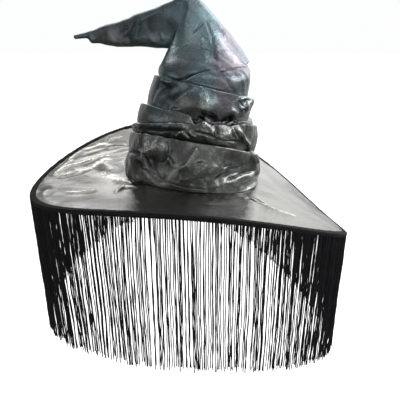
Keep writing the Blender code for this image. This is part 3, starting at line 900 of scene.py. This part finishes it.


# Small folds of the peak, and its painted highlights and shade, in the columns of the crown's
PEAK_FOLDS = (
    ("cone crease left", "lap", -0.0018, 0.0045,
     ((180, 81), (188, 78), (196, 74), (203, 71), (210, 70))),
    ("cone crease right", "lap", -0.0016, 0.0045, ((220, 70), (230, 69), (240, 67), (248, 66))),
    ("neck crease", "crease", 0.0012, 0.0030, ((162, 72), (168, 77), (178, 80))),
    ("small wrinkle", "crease", 0.0010, 0.0022, ((193, 32), (197, 28), (200, 24))),
    ("cone step", "crease", 0.0008, 0.0032, ((208, 17), (212, 35), (214, 50), (217, 66))),
    ("patch crease", "crease", 0.0010, 0.0050, ((221, 72), (227, 82), (234, 92))),
    ("patch ridge", "ridge", 0.0010, 0.0040, ((240, 72), (243, 82), (245, 92))),
    ("flap ridge", "ridge", 0.0009, 0.0040, ((139, 18), (136, 30), (133, 42))),
    ("flap crease", "crease", 0.0012, 0.0040, ((120, 39), (130, 31), (138, 20))),
    ("flap streak", "ridge", 0.0009, 0.0022, ((132, 32), (132, 43))),
    ("flap streak right", "ridge", 0.0008, 0.0022, ((161, 31), (163, 41))),
    ("flap long crease", "crease", 0.0008, 0.0060, ((165, 8), (140, 22), (118, 32))),
    ("cone line left", "dark", 1.0, 0.0018, ((172, 82), (180, 79), (190, 75), (200, 72), (209, 70))),
    ("cone line right", "dark", 2.0, 0.0018, ((223, 71), (232, 69), (240, 67), (246, 66))),
    ("wrinkle line", "dark", 0.7, 0.0011, ((194, 33), (199, 29), (203, 25))),
    ("cone step line", "dark", 0.5, 0.0034, ((208, 22), (213, 40), (215, 55), (217, 68))),
    ("cone pale band", "pale", 0.55, 0.0050, ((204, 40), (207, 50), (208, 62))),
    ("flap dark", "dark", 0.7, 0.0120, ((128, 32), (150, 24), (170, 26))),
    ("cone dark corner", "dark", 0.8, 0.0042, ((242, 71), (246, 77), (248, 84))),
    ("cone dark left foot", "dark", 0.5, 0.0070, ((176, 66), (186, 66), (194, 63))),
    ("sheen high", "pale", 0.9, 0.0110, ((220, 38), (223, 47), (228, 54), (236, 59))),
    ("sheen low", "pale", 1.0, 0.0060, ((228, 72), (234, 80), (242, 91))),
)

PEAK_CRUSH = ((0.048, 0.0010), (0.036, 0.0006), (0.024, 0.0004), (0.015, 0.0004))
PEAK_CRUSHED = ((0, 1, 2.5, 11, 14, 18, 22), (0, 0.2, 1, 1, 1.9, 1.7, 0.1))
PEAK_SEED = 29
PEAK_SHADING = 0.6              # the peak's folds are shallow, so the painted shade in them is lighter


def make_peak(material):
    """Hollow cone, pressed flat and folded over, closed at its tip."""
    grid, levels = peak_grid(PEAK_STATIONS)
    normals = surface_normals(grid)
    relief, painted_light = folded_relief(grid, normals, PEAK_FOLDS, levels >= 0)
    fade = np.interp(levels, *PEAK_CRUSHED)
    relief += crushed(grid, PEAK_CRUSH, PEAK_SEED) * fade[:, None]
    outer = grid + normals * relief[..., None]
    inner = half_as_fine(outer - normals * CROWN_WALL)
    # painted shade in the hollows of folds and on dark places, painted highlights on ridges and pale
    # places
    shades = hollows(relief, CREASE_DEPTH) * PEAK_SHADING + painted_light
    return double_wall("peak_taffeta", outer, inner, material, shades, tip=True)


# Brim

def brim_surface(turn, shares):
    """Middle of the brim's cloth, from the head opening (0) to the rim (1)."""
    inner, outer = head_ring(BRIM_TUCKED_IN, turn), rim_edge(turn)
    climb = np.maximum(0.0, (shares - SEAT_SHARE) / (1 - SEAT_SHARE)) ** BRIM_DISH
    grid = lerp(inner[None], outer[None], shares[:, None, None])
    grid[..., 2] = lerp(inner[None, :, 2], outer[None, :, 2], climb[:, None])
    return grid


# Wrinkles of the brim, and its painted highlights and shade, in the columns of the crown's folds
BRIM_FOLDS = (
    ("left band", "ridge", 0.0056, 0.0090, ((47, 178), (70, 168), (95, 162), (125, 157))),
    ("left band low", "crease", 0.0052, 0.0070, ((45, 181), (80, 175), (100, 166), (112, 161))),
    ("upper streak", "ridge", 0.0036, 0.0040, ((66, 164), (74, 157), (83, 151))),
    ("upper streak 2", "ridge", 0.0028, 0.0040, ((58, 172), (68, 164), (76, 160))),
    ("back crease", "crease", 0.0045, 0.0040, ((103, 148), (115, 146), (128, 146))),
    ("near crown white", "bump", 0.0044, 0.0140, ((108, 162), (112, 172))),
    ("fold 1", "crease", 0.0024, 0.0040, ((62, 195), (80, 193), (100, 191))),
    ("fold 2", "ridge", 0.0021, 0.0030, ((60, 193), (80, 191), (100, 189))),
    ("front streak", "ridge", 0.0033, 0.0030, ((112, 183), (124, 182), (136, 185))),
    ("front streak low", "ridge", 0.0033, 0.0028, ((113, 195), (124, 189), (140, 188))),
    ("front line", "crease", 0.0039, 0.0024, ((124, 191), (132, 190), (141, 189))),
    ("corner spot", "ridge", 0.0030, 0.0060, ((41, 198), (46, 193), (50, 190))),
    ("right crease 1", "crease", 0.0042, 0.0030, ((243, 199), (249, 200), (256, 203))),
    ("right crease 2", "crease", 0.0032, 0.0028, ((250, 197), (262, 204), (272, 208))),
    ("right line", "ridge", 0.0024, 0.0025, ((256, 203), (278, 211), (300, 218))),
    ("front soft", "crease", 0.0014, 0.0120, ((150, 196), (190, 203), (240, 207))),
    ("pale left", "pale", 0.9, 0.0060, ((58, 176), (84, 170), (108, 162))),
    ("pale near crown", "pale", 1.0, 0.0085, ((100, 175), (118, 178), (132, 182))),
    ("pale back", "pale", 0.7, 0.0050, ((86, 149), (104, 143), (120, 137))),
    ("dark back", "dark", 0.6, 0.0060, ((78, 159), (100, 151), (124, 143))),
    ("dark front", "dark", 0.6, 0.0130, ((60, 198), (90, 201), (118, 201))),
    ("dark by crown", "dark", 0.9, 0.0060, ((118, 185), (135, 184), (150, 185))),
    ("dark wide", "dark", 0.45, 0.0300, ((52, 190), (80, 182), (108, 172))),
)

BRIM_CRUSH = ((0.075, 0.0016), (0.055, 0.0012), (0.035, 0.0006), (0.020, 0.0003))
BRIM_SEED = 5
# How much of its relief the brim has from the head opening to the rim, and how crushed
# it is round the hat in degrees
BRIM_RELIEF = ((0.0, SEAT_SHARE, 0.12, 0.90, 0.96, 1.0), (0, 0, 1, 1, 0.1, 0))
BRIM_WRINKLED = ((0, 30, 60, 130, 200, 240, 300, 330, 360),
                 (0.3, 0.6, 0.8, 0.8, 1.2, 2.5, 2.0, 0.4, 0.3))


def make_brim(material):
    """Ring of cloth, stretched over the bent rim."""
    turn, shares = full_turn(BRIM_STATIONS), np.linspace(0, 1, BRIM_ROWS)
    grid = brim_surface(turn, shares)
    upward = surface_normals(grid)
    upward *= np.sign(upward[..., 2].mean())
    relief, painted_light = folded_relief(grid, upward, BRIM_FOLDS, shares >= 0)
    wrinkled = np.interp(np.degrees(turn), *BRIM_WRINKLED)
    relief += crushed(grid, BRIM_CRUSH, BRIM_SEED) * wrinkled
    relief *= np.interp(shares, *BRIM_RELIEF)[:, None]
    middle, half = grid + upward * relief[..., None], upward * CLOTH / 2
    top, bottom = (middle + half)[::-1], half_as_fine((middle - half)[::-1])
    # painted shade in the hollows of folds and on dark places, painted highlights on ridges and pale
    # places
    shades = (hollows(relief, CREASE_DEPTH) + painted_light)[::-1]
    return double_wall("brim_taffeta", top, bottom, material, shades)


# Rim and fringe

def rim_frame(count):
    """Edge of the brim, with its outward and upward directions."""
    turn = full_turn(count)
    inside, edge = brim_surface(turn, np.array([INSIDE_RIM, 1.0]))
    outward = unit(edge - inside)
    upward = unit(np.cross(np.cross(outward, [0.0, 0.0, 1.0]), outward))
    return edge, outward, upward


def rim_ripple(height, waves):
    """Small regular waves of sewn tape along the rim."""
    return height * np.sin(full_turn(RIM_STATIONS) * waves)


def make_binding(material):
    """Tape folded round the brim's edge."""
    edge, outward, upward = rim_frame(RIM_STATIONS)
    slot = CLOTH / 2 + GAP
    top = slot + TAPE_SHOWN
    lip = GAP + TAPE
    upper = [(-TAPE_REACH, top * 0.93), (-TAPE_REACH * 0.8, top * 1.02), (-TAPE_REACH * 0.4, top)]
    outside = list(upper)
    for degrees in range(80, -81, -20):
        outside.append((lip * cos(radians(degrees)) ** 0.8, top * sin(radians(degrees))))
    outside += [(out, -lift) for out, lift in reversed(upper)]
    inside = [(-TAPE_REACH, -slot), (GAP, -slot), (GAP, slot), (-TAPE_REACH, slot)]

    lumps = np.random.default_rng(TAPE_SEED).normal(size=RIM_STATIONS)
    evened = np.ones(TAPE_LUMP_STATIONS) / TAPE_LUMP_STATIONS
    lumps = np.convolve(np.tile(lumps, 3), evened, "same")[RIM_STATIONS:2 * RIM_STATIONS]
    lumps = TAPE_LUMP * np.maximum(lumps - TAPE_LUMP_FROM, 0)
    pucker = rim_ripple(TAPE_PUCKER, TAPE_PUCKERS) + lumps
    rises = [lift + np.sign(lift) * pucker for _, lift in outside]
    rises += [np.full(RIM_STATIONS, lift) for _, lift in inside]
    rings = [edge + outward * out + upward * rise[:, None]
             for (out, _), rise in zip(outside + inside, rises)]
    places = flat_places(np.array(rings + rings[:1]))[:-RIM_STATIONS]
    faces = loop_faces(len(rings), RIM_STATIONS)
    return new_piece("rim_tape", np.concatenate(rings), faces, material, places)


def heading_line(count):
    """Middle of the fringe heading's top edge, right under the binding."""
    edge, outward, upward = rim_frame(count)
    below = edge - upward * (CLOTH / 2 + GAP + TAPE_SHOWN)
    line = edge.copy()
    line[:, 2] = np.minimum(below[:, 2], (below - outward * HEADING_THICKNESS)[:, 2]) + GAP
    away = line - (RIM_CENTRE_X, 0, 0)
    away[:, 2] = 0
    return line, unit(away)


# Section of the heading, from its top down: half thickness as a share, and drop
HEADING_PROFILE = ((0.6, 0.0), (1.0, 0.0006), (0.8, 0.0012), (0.5, HEADING_SHOWN))
HEADING_WIDTH = 0.001           # of cloth between two lines of the section


def make_heading(material):
    """Woven heading tape that the yarns are knotted into."""
    line, away = heading_line(RIM_STATIONS)
    half = HEADING_THICKNESS / 2
    ripple = away * rim_ripple(HEADING_RIPPLE, HEADING_RIPPLES)[:, None]
    down = np.array([0.0, 0.0, 1.0])
    sides = [(out, drop) for out, drop in HEADING_PROFILE]
    sides += [(-out, drop) for out, drop in reversed(HEADING_PROFILE)]
    rings = [line + away * (half * out) + ripple - down * drop for out, drop in sides]
    around = np.arange(RIM_STATIONS) * HEADING_STEP
    places = [np.stack([around, np.full(RIM_STATIONS, HEADING_WIDTH * number)], axis=1)
              for number in range(len(rings))]
    return new_piece("fringe_heading", np.concatenate(rings), loop_faces(len(rings), RIM_STATIONS),
                     material, np.concatenate(places))


# Fringe yarns, one by one
STRANDS = 860
STRAND_RADIUS = 0.00058
STRAND_POINTS = 20
YARN_SEED = 3
YARN_HIDDEN = 0.0012            # length of a yarn that is knotted into the heading
# Named inputs: sizes of a yarn, how far it stands off the line (jitter), how the yarns
# lean together in clumps, how many neighbours pull together over their step, and how
# wavy each is
YARN_SIZES = (
    ("Length", FRINGE_LENGTH), ("Length Spread", 0.0045), ("Radius", STRAND_RADIUS),
    ("Thin and Thick", 0.40), ("Jitter", 0.0009), ("Clump", 0.0035), ("Clump Size", 0.019),
    ("Group", 4.6), ("Pull", 0.48), ("Step", 0.00155), ("Waviness", 0.0013),
)


def start_group(name, counts, sizes):
    """A Geometry Nodes group with named inputs, its tree, and a reader of its inputs."""
    group = bpy.data.node_groups.new(name, "GeometryNodeTree")
    face = group.interface
    face.new_socket("Geometry", in_out="INPUT", socket_type="NodeSocketGeometry")
    for kind, values in (("NodeSocketInt", counts), ("NodeSocketFloat", sizes)):
        for label, value in values:
            face.new_socket(label, in_out="INPUT", socket_type=kind).default_value = value
    face.new_socket("Geometry", in_out="OUTPUT", socket_type="NodeSocketGeometry")
    tree = NodeTree(group)
    given = group.nodes.new("NodeGroupInput")
    return group, tree, lambda label: Socket(tree, given.outputs[label])


def finish_group(group, tree, threads, material):
    """Real, smooth mesh of the threads as the group's output."""
    threads = tree.add("GeometryNodeRealizeInstances", {}, [threads])
    threads = tree.add("GeometryNodeSetShadeSmooth", {}, {"Geometry": threads})
    threads = tree.add("GeometryNodeSetMaterial", {}, {"Geometry": threads, "Material": material})
    out = group.nodes.new("NodeGroupOutput")
    tree.feed(out.inputs[0], threads)
    return group


def strand_tree(material):
    """Geometry Nodes: a yarn hangs at every step of the heading's line."""
    counts = (("Yarns", STRANDS), ("Points", STRAND_POINTS), ("Seed", YARN_SEED))
    group, tree, size = start_group("hanging yarns", counts, YARN_SIZES)
    seed = size("Seed")

    def kept(geometry, kind, name, value):
        """Store one value at every point under a name."""
        return tree.add("GeometryNodeStoreNamedAttribute", {"data_type": kind, "domain": "POINT"},
                        {"Geometry": geometry, "Name": name, "Value": value})

    def named(name, kind):
        """Read such a value again."""
        return tree.add("GeometryNodeInputNamedAttribute", {"data_type": kind}, {"Name": name})

    def random_vector(amount, add):
        """Random move in the level plane."""
        low = tree.add("ShaderNodeCombineXYZ", {}, [amount * -1, amount * -1, 0.0])
        high = tree.add("ShaderNodeCombineXYZ", {}, [amount, amount, 0.0])
        return tree.add("FunctionNodeRandomValue", {"data_type": "FLOAT_VECTOR"},
                        {0: low, 1: high, "Seed": seed + add}, 0)

    def field(place, detail):
        """Smooth random move in all directions."""
        return tree.add("ShaderNodeTexNoise", {}, {
            "Vector": place, "Scale": 1.0, "Detail": detail}, 1) - (0.5, 0.5, 0.5)

    line = tree.add("GeometryNodeMeshToCurve", {}, [size("Geometry")])
    spots = tree.add("GeometryNodeResampleCurve", {}, {"Curve": line, "Count": size("Yarns")})
    spots = tree.add("GeometryNodeCurveToPoints", {"mode": "EVALUATED"}, [spots])
    spots = tree.add("GeometryNodeSetPosition", {}, {
        "Geometry": spots, "Offset": random_vector(size("Jitter"), 1)})
    spots = kept(spots, "FLOAT_VECTOR", "root", tree.add("GeometryNodeInputPosition"))
    spots = kept(spots, "FLOAT", "number", tree.add("GeometryNodeInputIndex"))
    spread = tree.add("FunctionNodeRandomValue", {"data_type": "FLOAT"}, {
        2: size("Length Spread") * -1, 3: size("Length Spread"), "Seed": seed + 2}, 1)
    strand = tree.add("GeometryNodeCurvePrimitiveLine", {"mode": "POINTS"}, {
        "Start": (0.0, 0.0, 0.0), "End": (0.0, 0.0, -1.0)})
    strand = tree.add("GeometryNodeResampleCurve", {}, {"Curve": strand, "Count": size("Points")})
    strand = kept(strand, "FLOAT", "drop", tree.add("GeometryNodeSplineParameter"))
    scale = tree.add("ShaderNodeCombineXYZ", {}, [1.0, 1.0, size("Length") + spread])
    placed = tree.add("GeometryNodeInstanceOnPoints", {}, {
        "Points": spots, "Instance": strand, "Scale": scale})
    yarns = tree.add("GeometryNodeRealizeInstances", {}, [placed])

    drop = named("drop", "FLOAT")
    root = named("root", "FLOAT_VECTOR")
    number = named("number", "FLOAT")
    level = tree.add("ShaderNodeCombineXYZ", {}, [0.0, 0.0, drop * 1.1])
    clump = field(root / size("Clump Size") * 0.7 + level, 1.0)
    wide = field(root / size("Clump Size") * 0.23 + level * 0.5, 0.0)
    own = tree.add("ShaderNodeCombineXYZ", {}, [number * 7.31, number * 3.17, drop * 9.0])
    wave = field(own, 2.0)
    swing = drop ** 0.8
    flat_root = root * (1.0, 1.0, 0.0)
    sideways = tree.add("ShaderNodeVectorRotate", {"rotation_type": "Z_AXIS"}, {
        "Vector": tree.add("ShaderNodeVectorMath", {"operation": "NORMALIZE"}, [flat_root]),
        "Angle": pi / 2})
    drift = tree.add("ShaderNodeTexNoise", {"noise_dimensions": "1D"}, {"W": number * 0.13})
    group_place = number / size("Group") + drift * 3.0
    off_centre = group_place - group_place.combine("ROUND", group_place)
    firmness = tree.add("ShaderNodeTexNoise", {"noise_dimensions": "1D"}, {
        "W": number * 0.07 + 40.0})
    gathered = tree.rising(drop, 0.0, 0.22)
    pull = off_centre * size("Group") * size("Step") * size("Pull") * gathered * (firmness * 1.6)
    offset = (clump * (size("Clump") * 2.6 * swing) + wide * (size("Clump") * 1.4 * swing)
              + wave * (size("Waviness") * 3.0 * (drop ** 0.5)) - sideways * pull)
    offset = offset * (1.0, 1.0, 0.0)
    yarns = tree.add("GeometryNodeSetPosition", {}, {"Geometry": yarns, "Offset": offset})
    ring = tree.add("GeometryNodeCurvePrimitiveCircle", {}, {
        "Resolution": 5, "Radius": size("Radius")})
    thickness = tree.add("FunctionNodeRandomValue", {"data_type": "FLOAT"}, {
        2: 1 - size("Thin and Thick"), 3: 1 + size("Thin and Thick"), "ID": number,
        "Seed": seed + 5}, 1)
    yarns = tree.add("GeometryNodeSetCurveRadius", {}, {"Curve": yarns, "Radius": thickness})
    tubes = tree.add("GeometryNodeCurveToMesh", {}, {
        "Curve": yarns, "Profile Curve": ring, "Fill Caps": True})
    return finish_group(group, tree, tubes, material)


def grown(name, line, group, settings):
    """Piece that a Geometry Nodes tree grows on a closed line of points."""
    path = bpy.data.meshes.new(name + "_line")
    count = len(line)
    path.from_pydata(line.tolist(), [(k, (k + 1) % count) for k in range(count)], [])
    carrier = bpy.data.objects.new(name + "_line", path)
    bpy.context.scene.collection.objects.link(carrier)
    modifier = carrier.modifiers.new(name, "NODES")
    modifier.node_group = group
    for item in group.interface.items_tree:
        if item.item_type == "SOCKET" and item.in_out == "INPUT" and item.name in settings:
            modifier[item.identifier] = settings[item.name]
    whole = carrier.evaluated_get(bpy.context.evaluated_depsgraph_get())
    mesh = bpy.data.meshes.new_from_object(whole)
    mesh.name = name
    for attribute in ("root", "number", "drop"):
        if attribute in mesh.attributes:
            mesh.attributes.remove(mesh.attributes[attribute])
    bpy.data.objects.remove(carrier, do_unlink=True)
    piece = bpy.data.objects.new(name, mesh)
    bpy.context.scene.collection.objects.link(piece)
    return piece


def make_strands(material):
    """Single yarns, knotted into the heading all the way round."""
    line, _ = heading_line(RIM_STATIONS)
    line[:, 2] -= HEADING_SHOWN - YARN_HIDDEN
    return grown("fringe_yarns", line, strand_tree(material), {
        "Yarns": STRANDS, "Length": FRINGE_LENGTH - HEADING_SHOWN + YARN_HIDDEN})


# Stitches that hold the binding, one by one
STITCHES = 380
STITCH_LENGTH = 0.0022
STITCH_THREAD = 0.00024
STITCH_INSET = 0.0050           # from the brim's edge inwards


def stitch_tree(material):
    """Geometry Nodes: short thread loops along a line, each bowed up in its middle."""
    counts = (("Stitches", STITCHES),)
    sizes = (("Length", STITCH_LENGTH), ("Thread", STITCH_THREAD))
    group, tree, size = start_group("sewn stitches", counts, sizes)
    length, thread = size("Length"), size("Thread")
    line = tree.add("GeometryNodeMeshToCurve", {}, [size("Geometry")])
    line = tree.add("GeometryNodeResampleCurve", {}, {"Curve": line, "Count": size("Stitches")})
    spots = tree.add("GeometryNodeCurveToPoints", {"mode": "EVALUATED"}, [line])
    tangent = Socket(tree, spots.output.node.outputs["Tangent"])
    start = tree.add("ShaderNodeCombineXYZ", {}, [length * -0.5, 0.0, thread * -0.8])
    middle = tree.add("ShaderNodeCombineXYZ", {}, [0.0, 0.0, thread * 1.6])
    end = tree.add("ShaderNodeCombineXYZ", {}, [length * 0.5, 0.0, thread * -0.8])
    loop = tree.add("GeometryNodeCurveQuadraticBezier", {}, {
        "Resolution": 5, "Start": start, "Middle": middle, "End": end})
    ring = tree.add("GeometryNodeCurvePrimitiveCircle", {}, {"Resolution": 6, "Radius": thread})
    stitch = tree.add("GeometryNodeCurveToMesh", {}, {
        "Curve": loop, "Profile Curve": ring, "Fill Caps": True})
    turned = tree.add("FunctionNodeAlignRotationToVector", {"axis": "X"}, {"Vector": tangent})
    placed = tree.add("GeometryNodeInstanceOnPoints", {}, {
        "Points": spots, "Instance": stitch, "Rotation": turned})
    return finish_group(group, tree, placed, material)


def make_stitches(material):
    """Stitches along the upper edge of the binding."""
    edge, outward, upward = rim_frame(RIM_STATIONS)
    line = edge - outward * STITCH_INSET + upward * (CLOTH / 2 + GAP + TAPE_SHOWN)
    return grown("rim_stitches", line, stitch_tree(material), {
        "Stitches": STITCHES, "Length": STITCH_LENGTH, "Thread": STITCH_THREAD})


# Studio
FLOOR_LEVEL = -0.42
FLOOR_HALF = 12.0
# Soft round lights of the room: direction as right, back and up, spread in degrees,
# brightness
ROOM_PANELS = (
    ((0.25, -0.45, 0.75), 17, 1.0),
    ((-0.85, -0.40, 0.12), 20, 0.75),
    ((0.22, -1.0, -0.03), 32, 0.70),
    ((0.82, -0.32, 0.47), 15, 1.8),
    ((0.60, 0.60, 0.53), 20, 1.6),
    ((-0.31, 0.90, 0.34), 9, 2.3),
    ((-0.35, -0.85, 0.45), 12, 0.5),
)
# columns: name, place, target, size, power in watts
LAMPS = (
    ("right window", (1.1, 0.15, 0.75), (0.0, 0.0, 0.05), (1.0, 0.8), 7.0),
    ("top softbox", (-0.5, 0.6, 1.2), (0.0, 0.0, 0.0), (0.9, 0.6), 3.5),
)


def make_camera():
    """Camera at the photographer's place."""
    lens = bpy.data.cameras.new("photo camera")
    lens.lens = CAMERA_LENS
    lens.sensor_width = CAMERA_SENSOR
    lens.clip_start, lens.clip_end = 0.01, 50.0
    camera = bpy.data.objects.new("photo_camera", lens)
    camera.location = CAMERA_PLACE
    camera.rotation_euler = (radians(90 - CAMERA_PITCH), 0.0, 0.0)
    bpy.context.scene.collection.objects.link(camera)
    bpy.context.scene.camera = camera


def make_floor():
    """Plain pale floor, which the glossy cloth doesn't mirror."""
    mesh = bpy.data.meshes.new("studio_floor")
    corners = ((-1, -1), (1, -1), (1, 1), (-1, 1))
    places = [(x * FLOOR_HALF, y * FLOOR_HALF, FLOOR_LEVEL) for x, y in corners]
    mesh.from_pydata(places, [], [(0, 1, 2, 3)])
    material = bpy.data.materials.new("pale floor")
    material.use_nodes = True
    shader = material.node_tree.nodes["Principled BSDF"]
    for name, value in (("Base Color", (0.93, 0.93, 0.93, 1.0)), ("Roughness", 0.9),
                        ("Specular IOR Level", 0.1), ("Emission Color", (1.0, 1.0, 1.0, 1.0)),
                        ("Emission Strength", 0.8)):
        shader.inputs[name].default_value = value
    mesh.materials.append(material)
    floor = bpy.data.objects.new("studio_floor", mesh)
    bpy.context.scene.collection.objects.link(floor)
    floor.visible_glossy = False


def make_world():
    """White room: bright behind and above, dimmer in front, where the viewer stands."""
    world = bpy.data.worlds.new("white room")
    bpy.context.scene.world = world
    world.use_nodes = True
    world.node_tree.nodes.clear()
    tree = NodeTree(world.node_tree)
    way = tree.add("ShaderNodeTexCoord", {}, (), 0)     # the direction that is looked in
    side, behind, above = way.part(0), way.part(1), way.part(2)
    left_back = tree.rising(side * -1, -0.05, 0.45)
    back_wall = (tree.rising(behind, 0.1, 0.85) * tree.rising(above, -0.45, 0.12)
                 * (left_back * -1.05 + 1.5))
    right_wall = tree.rising(side, 0.3, 0.95) * tree.rising(above, -0.6, 0.25) * 0.40
    ceiling = tree.rising(above, 0.45, 0.95) * 0.25
    shade = back_wall + right_wall + ceiling + 0.10
    for direction, spread, brightness in ROOM_PANELS:
        wanted = tree.add("ShaderNodeVectorMath", {"operation": "NORMALIZE"}, [direction])
        nearness = tree.add("ShaderNodeVectorMath", {"operation": "DOT_PRODUCT"}, [way, wanted], 1)
        edge, full = cos(radians(spread)), cos(radians(spread * 0.55))
        shade = shade + tree.rising(nearness, edge, full) * brightness
    seen = tree.add("ShaderNodeLightPath", {}, (), 0)
    room = tree.add("ShaderNodeBackground", {}, {"Color": (1.0, 1.0, 1.0), "Strength": shade})
    white = tree.add("ShaderNodeBackground", {}, {"Color": (0.985, 0.988, 0.99), "Strength": 1.0})
    both = tree.add("ShaderNodeMixShader", {}, [seen, room, white])
    out = world.node_tree.nodes.new("ShaderNodeOutputWorld")
    tree.feed(out.inputs["Surface"], both)


def make_lamp(name, place, target, size, power):
    """Rectangular studio lamp, turned towards its target."""
    light = bpy.data.lights.new(name, "AREA")
    light.shape = "RECTANGLE"
    light.size, light.size_y = size
    light.energy = power
    lamp = bpy.data.objects.new(name, light)
    lamp.location = place
    lamp.rotation_euler = (Vector(target) - Vector(place)).to_track_quat("-Z", "Y").to_euler()
    lamp.visible_camera = False
    bpy.context.scene.collection.objects.link(lamp)


def main():
    """The dressed hat in its studio."""
    bpy.context.scene.view_settings.view_transform = "Standard"
    make_camera()
    make_floor()
    make_world()
    for lamp in LAMPS:
        make_lamp(*lamp)

    crown_cloth = taffeta("slate taffeta", SLATE_TONES, 0.94, 0.22, crush=0.45, painted_sheen=0.7)
    brim_cloth = taffeta("silver-black taffeta", SILVER_TONES, 0.98, 0.09, crush=0.16, painted_sheen=1.3)
    tape = tape_material()
    yarn = yarn_material()
    crown = make_crown(crown_cloth)
    peak = make_peak(crown_cloth)
    brim = make_brim(brim_cloth)
    binding = make_binding(tape)
    heading = make_heading(yarn)
    strands = make_strands(yarn)
    stitches = make_stitches(yarn)
    rows = (
        (crown, "crown_cloth", "crown"),
        (peak, "crown_cloth", "peak"),
        (brim, "brim_cloth", "brim"),
        (binding, "binding_tape", "brim_binding"),
        (heading, "fringe_yarn", "fringe"),
        (strands, "fringe_yarn", "fringe"),
        (stitches, "binding_tape", "brim_binding"),
    )
    for piece, slot, node in rows:
        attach(piece, "root")
        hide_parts(node)


main()
